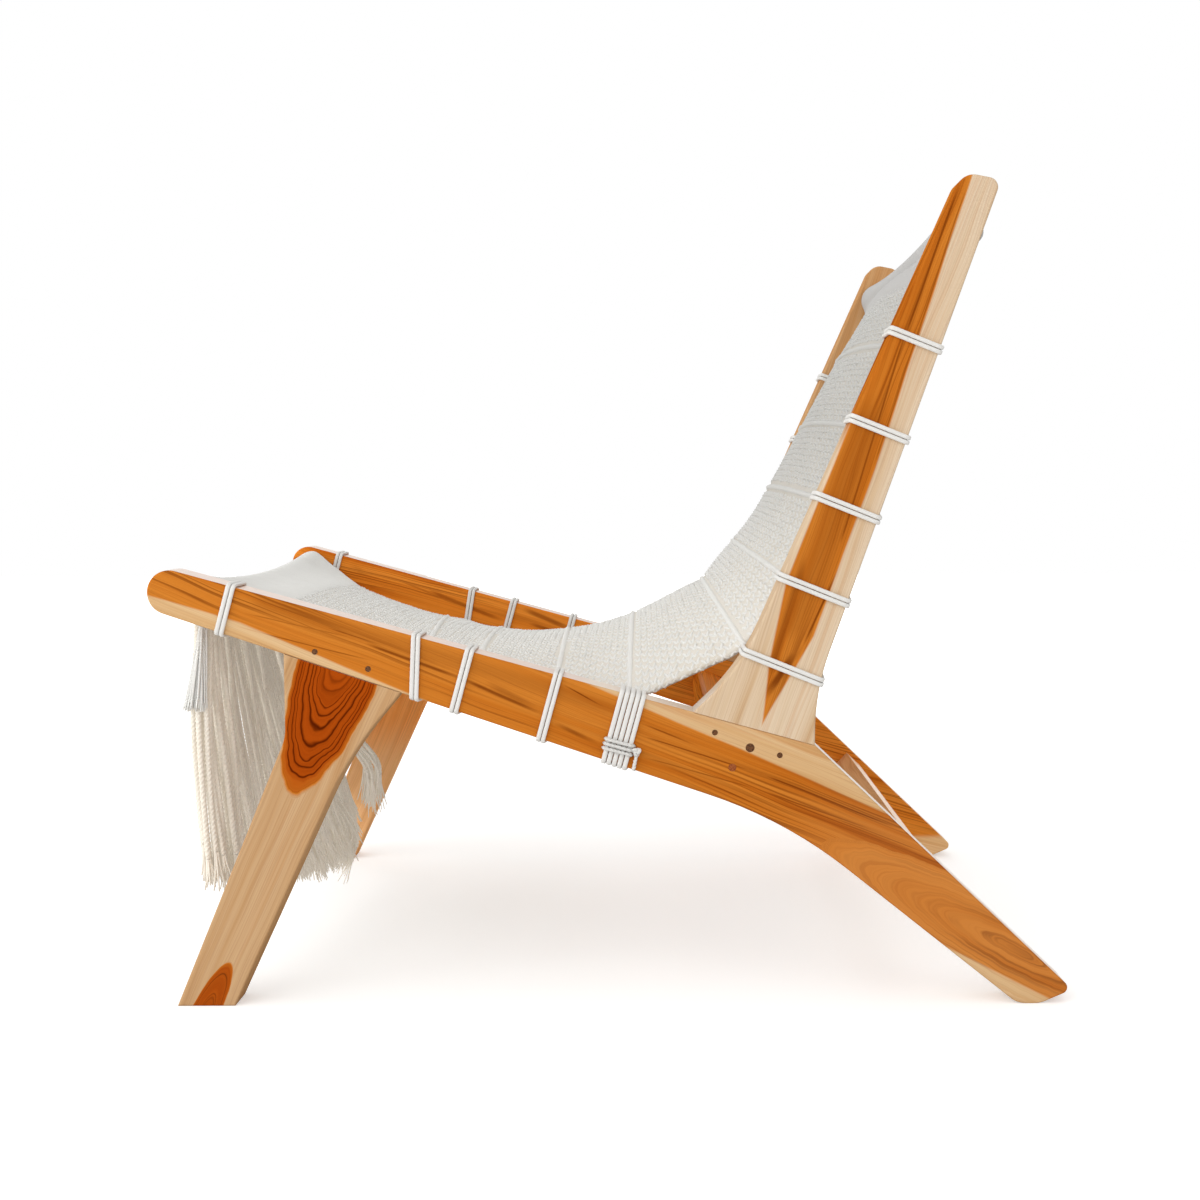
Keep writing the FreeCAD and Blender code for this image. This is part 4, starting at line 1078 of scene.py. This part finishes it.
# Where the cord bends: from the sling's edge to the plank, over its edge, down the outer face,
# under it and up the inner face, one pitch further at every turn, and back to the sling
def laceCorners(tree, place, across, turns, slant, tieShift):
    tie = laceTie(place)
    pitch = lace["pitch"] if turns == lace["turns"] else lace["bundlePitch"]
    along = np.array((across[1], -across[0]))
    off = lace["halfThick"] + lace["gap"]
    nearX, farX = sideFrame["innerX"] - off, sideFrame["outerX"] + off
    slingX = sling["lacedEdge"] - lace["inEdge"]
    gatherU, gatherV = lace["gather"]

    def at(x, u, v):
        spot = tie + across * u + along * v
        return (x, spot[0], spot[1])

    def top(x, v):
        return at(x, plankSpan(tree, tie + along * v, across)[1] + off, v)

    def bottom(x, v):
        return at(x, plankSpan(tree, tie + along * (v + slant), across)[0] - off, v + slant)

    low, high = plankSpan(tree, tie, across)
    tieU = min(0.0, high - 2 * lace["corner"])
    shift = slant * (high + off - tieU) / (high - low + 2 * off) + tieShift
    first = -0.5 * (turns - 1) * pitch
    last = first + turns * pitch
    corners = [at(slingX, gatherU * tieU, gatherV * first + shift), at(nearX, tieU, first + shift)]
    for i in range(turns):
        v = first + i * pitch
        corners += [top(nearX, v), top(farX, v), bottom(farX, v), bottom(nearX, v + pitch)]
        if tieShift and i < turns - 1:
            corners.append(at(nearX, tieU, v + pitch + shift))
    return corners + [at(nearX, tieU, last + shift),
                      at(slingX, gatherU * tieU, gatherV * last + shift)]


# A plank's triangles, ready for lines to be cast at them
def plankTree(node):
    corners = np.empty(3 * len(node.data.vertices), np.float32)
    node.data.vertices.foreach_get("co", corners)
    faces = np.empty(3 * len(node.data.polygons), np.int32)
    node.data.polygons.foreach_get("vertices", faces)
    return BVHTree.FromPolygons(corners.reshape(-1, 3).tolist(), faces.reshape(-1, 3).tolist())


railTree = plankTree(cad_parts["left_seat_rail"])
postTree = plankTree(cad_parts["left_back_post"])
postRearAlong = unitRows(np.subtract(sideFrame["postRear"][1], sideFrame["postRear"][0]))
postMiddle = unitRows(postAlong + postRearAlong)
postAcross = np.array((-postMiddle[1], postMiddle[0]))


# The same part on the right side
def mirrored(part):
    points, quads, triangles = part
    return points * (-1.0, 1.0, 1.0), quads[:, ::-1], triangles[:, ::-1]


def makeLace(name, tree, place, across, along, turns, slant=0.0, tieShift=0.0):
    path = bentRuns(laceCorners(tree, place, across, turns, slant, tieShift), lace["corner"])
    halfWide = lace["halfWide"] if turns == lace["turns"] else lace["bundleWide"]
    part = flatCord(path, (0, along[0], along[1]), halfWide, lace["twist"], float(dice.uniform(0, 6)),
                    (1.0, lace["halfThick"] / halfWide))
    part = mirrored(part) if name.startswith("right") else part
    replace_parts(makePiece(name + "_rope", [part], laceCotton), name)


for number, row in enumerate(sling["seatLaceRows"], 1):
    turns = lace["bundleTurns"] if row == sling["bundleRow"] else lace["turns"]
    slanted = float(row == sling["slantedRow"])
    ahead = row - float(rightLead(np.array(float(row))))
    makeLace("left_seat_lace_%d" % number, railTree, row, railUp, railAlong, turns,
             slanted * lace["leftSlant"])
    makeLace("right_seat_lace_%d" % number, railTree, ahead, railUp, railAlong, turns,
             slanted * lace["rightSlant"], slanted * lace["rightTie"])
for number, row in enumerate(sling["backLaceRows"], 1):
    for side in ("left_", "right_"):
        makeLace(side + "back_lace_%d" % number, postTree, row, postAcross, postMiddle, lace["turns"])
print("laces are wound")

# Tie: short turns across the widest lace, and a small knot with a tail beside them
tie = {
    "radius": 1.9, "pitch": 4.2, "turns": 3, "twist": 11.0,
    "share": 0.68,                               # how far down the plank's face
    "overhang": 1.4, "tuckIn": 3.4,              # past the bundle's sides, and in towards the plank
    "bead": 4.2, "beadSize": 1.35, "beadCord": 1.75, "tailCord": (1.7, 1.9), "tail": (3.0, 17.0),
}


# The turns follow -tuckIn |t|^8 towards the plank. The knot is a trefoil: across sin t + 2 sin 2t and
# down cos t - 2 cos 2t, with sin 3t outwards
def makeTies():
    middle = laceTie(sling["bundleRow"])
    low, high = plankSpan(railTree, middle, railUp)
    level = middle + railUp * (high + tie["share"] * (low - high))
    halfBundle = 0.5 * (lace["bundleTurns"] - 1) * lace["bundlePitch"] + lace["halfWide"]
    x = sideFrame["outerX"] + 2 * lace["gap"] + 2 * lace["halfThick"] + tie["radius"]
    parts = []
    t = np.linspace(-1, 1, 25)
    for i in range(tie["turns"]):
        reach = (t * (halfBundle + tie["overhang"]))[:, None]
        spot = level - railUp * i * tie["pitch"] + railAlong * reach
        turn = np.column_stack((x - tie["tuckIn"] * np.abs(t) ** 8, spot))
        parts.append(rope(turn, (1, 0, 0), tie["radius"], tie["twist"]))
    t = np.linspace(0, 2 * np.pi, 90)
    bead = level - railUp * tie["pitch"] + railAlong * (halfBundle + tie["bead"] + 0.6)
    loop = np.column_stack((sideFrame["outerX"] + lace["gap"] + tie["bead"] + 1.2 * np.sin(3 * t),
                            bead[0] + tie["beadSize"] * (np.sin(t) + 2 * np.sin(2 * t)) * 0.8,
                            bead[1] + tie["beadSize"] * (np.cos(t) - 2 * np.cos(2 * t)) * 0.8))
    parts.append(rope(loop, (1, 0.2, 0), tie["beadCord"], 9.0, 1.2))
    tail = np.column_stack((np.full(9, sideFrame["outerX"] + 3.4), np.linspace(bead[0], bead[0] - 3, 9),
                            np.linspace(bead[1] - tie["tail"][0], bead[1] - tie["tail"][1], 9)))
    parts.append(rope(tail, (1, 0, 0), np.linspace(*tie["tailCord"], 9), 10.0))
    for side in ("left_", "right_"):
        turned = [mirrored(part) if side == "right_" else part for part in parts]
        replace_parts(makePiece(side + "bundle_tie_wraps", turned, laceCotton),
                    side + "bundle_tie")


makeTies()
print("ties are on")


# Fringe: the sling's cords hang from the front roll, gather a little, and fray at their ends

fringe = {
    "tresses": 20, "strands": 11, "half": 248.5, "sideEnd": (-378.0, 92.0), "middleEnd": (-305.0, 60.0),
    "setBack": 8.0, "belly": 5.0, "spread": (7.0, 11.0), "sway": 1.4, "uneven": (-4, 12),
    "radius": 2.1, "twist": 11.0, "nearRadius": 2.8, "nearTwist": 14.0, "nearWithin": 30.0,
    "spacing": 3.0, "fray": 34.0, "fibres": 7, "fibreSpread": 0.16,
    "wisps": (                                   # groups that swing back, from their place across
        (30.0, ((-378, 330), (-352, 268), (-312, 222), (-282, 196), (-266, 172), (-276, 140)), 12),
        (-20.0, ((-378, 330), (-366, 240), (-338, 150), (-306, 104), (-298, 84), (-316, 62)), 8),
        (60.0, ((-380, 330), (-366, 250), (-342, 180), (-322, 130), (-312, 104), (-328, 78)), 6),
    ),
    "wispSpread": (4, 12), "wispStray": (1, 9), "wispSmooth": 30,
}


# Height just under the front roll, this far behind its middle line
def underRoll(x, setBack):
    form = rolls["front"]
    radius = form["middle"] + (form["end"] - form["middle"]) * (x / sideFrame["innerX"]) ** 2
    barZ = sideFrame["frontBar"][1] - archDrop(x, sideFrame["frontDip"])
    return barZ - math.sqrt(radius ** 2 - setBack ** 2)


# Each cord runs from the roll to its tress's end: a straight line, a bow 4 s (1 - s) forward, its place
# in the tress that widens with s, and a slow sway. The wisps follow their own spots, smoothed
def makeFringe():
    strandParts, frayParts = [], []
    s = np.linspace(0, 1, 60)
    for x in fringe["half"] * np.linspace(-1, 1, fringe["tresses"]):
        share = (x / fringe["half"]) ** 2
        end = np.array(fringe["middleEnd"]) * (1 - share) + np.array(fringe["sideEnd"]) * share
        topY = sideFrame["frontBar"][0] + fringe["setBack"]
        topZ = underRoll(x, fringe["setBack"]) + 3
        near = "nearRadius" if abs(x) > fringe["half"] - fringe["nearWithin"] else "radius"
        twist = fringe["nearTwist" if near == "nearRadius" else "twist"]
        for i in range(fringe["strands"]):
            angle = 2 * np.pi * i / fringe["strands"] + dice.uniform(0, 1.0)
            spread = np.array((math.cos(angle), math.sin(angle))) * dice.uniform(0.45, 1.0)
            wide = fringe["spread"][0] + (fringe["spread"][1] - fringe["spread"][0]) * s
            sway = dice.normal(0, fringe["sway"], 2)
            lineX = x + 2.2 * wide * spread[0] * (1 - 0.5 * s) + sway[0] * np.sin(2.6 * np.pi * s)
            lineY = topY + (end[0] - topY) * s - fringe["belly"] * 4 * s * (1 - s) \
                + wide * spread[1] + sway[1] * np.sin(2.1 * np.pi * s + i)
            lineZ = topZ + (end[1] + dice.uniform(*fringe["uneven"]) - topZ) * s
            radius = fringe[near] * dice.uniform(0.9, 1.15)
            addStrand(np.column_stack((lineX, lineY, lineZ)), radius, twist, strandParts, frayParts)
    spread, stray = fringe["wispSpread"], fringe["wispStray"]
    for x, spots, number in fringe["wisps"]:
        spots = np.array(spots, float)
        knots = np.linspace(0, 1, len(spots))
        for i in range(number):
            away = dice.uniform(-1, 1, 3)
            line = smoothed(np.column_stack((
                x + away[0] * (spread[0] + spread[1] * s), np.interp(s, knots, spots[:, 0]),
                np.interp(s, knots, spots[:, 1]))), fringe["wispSmooth"])
            line[:, 1:] += away[1:] * (stray[0] + stray[1] * s)[:, None]
            addStrand(line, fringe["radius"] * dice.uniform(0.8, 1.1), fringe["twist"],
                      strandParts, frayParts)
    return strandParts, frayParts


# One cord, and threads where it has come undone at its end
def addStrand(line, radius, twist, strandParts, frayParts):
    run = np.linalg.norm(np.diff(line, axis=0), axis=1).sum()
    keep = 1 - fringe["fray"] * dice.uniform(0.6, 1.25) / run
    upper = line[:int(keep * len(line))]
    strandParts.append(rope(upper, (1, 0, 0), radius, twist, fringe["spacing"], dice.uniform(0, 6)))
    frayParts += frayed(upper[-1], unitRows(upper[-1] - upper[-3]), (1 - keep) * run, radius,
                        fringe["fibres"], fringe["fibreSpread"])


# Thin threads that fan out from a cord's end: each starts inside it and bends outwards as t^1.7
def frayed(start, ahead, length, radius, fibres, spread):
    t = np.linspace(0, 1, 7)[:, None]
    parts = []
    for number in range(fibres):
        angle = 2 * np.pi * number / fibres + dice.uniform(-0.4, 0.4)
        away = unitRows(np.cross(ahead, (math.cos(angle), math.sin(angle), 0.1)))
        reach = length * dice.uniform(0.75, 1.05)
        line = start + away * radius * 0.45 + ahead * reach * t - ahead * 2 * (1 - t) \
            + away * length * spread * t ** 1.7 * dice.uniform(0.3, 1.3)
        parts.append(tube(line, (1, 0.3, 0), radius * np.linspace(0.46, 0.20, 7), sides=4))
    return parts


strandParts, frayParts = makeFringe()
strands = inPieces("fringeCords", strandParts, fringeCotton)
frays = inPieces("fringeEnds", frayParts, fringeCotton)
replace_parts(strands[0], "front_fringe")

# Tufts: short loose threads at both ends of the front roll
tuft = {
    "inset": 8.0, "setBack": 12.0, "sweep": 19.0, "length": 93.0, "threads": 30, "radius": 1.6,
    "twist": 9.0, "spacing": 2.5, "fray": 7.0, "fibres": 4, "fibreSpread": 0.10,
}


# Each thread hangs down s and sweeps forward by its share of sweep * s^1.2
def makeTuft():
    parts = []
    topX = sideFrame["innerX"] - tuft["inset"]
    topY = sideFrame["frontBar"][0] + tuft["setBack"]
    topZ = underRoll(topX, tuft["setBack"]) + 2
    s = np.linspace(0, 1, 16)
    for number in range(tuft["threads"]):
        away = dice.uniform(-1, 1, 2)
        share = (number + 0.5) / tuft["threads"]
        line = np.column_stack((
            topX + away[0] * (1.5 + 2.5 * s),
            topY + away[1] * 2.0 - tuft["sweep"] * share * s ** 1.2 + 0.6 * np.sin(3 * s + number),
            topZ - tuft["length"] * s * dice.uniform(0.90, 0.96)))
        parts.append(rope(line, (1, 0, 0), tuft["radius"] * np.linspace(1.1, 0.8, 16), tuft["twist"],
                          tuft["spacing"]))
        parts += frayed(line[-1], unitRows(line[-1] - line[-3]), tuft["fray"], tuft["radius"],
                        tuft["fibres"], tuft["fibreSpread"])
    return parts


tufts = []
for side in ("left_", "right_"):
    threads = [mirrored(part) if side == "right_" else part for part in makeTuft()]
    tufts.append(makePiece(side + "tuft_threads", threads, tuftCotton))
    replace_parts(tufts[-1], side + "side_tuft")
print("the fringe hangs")
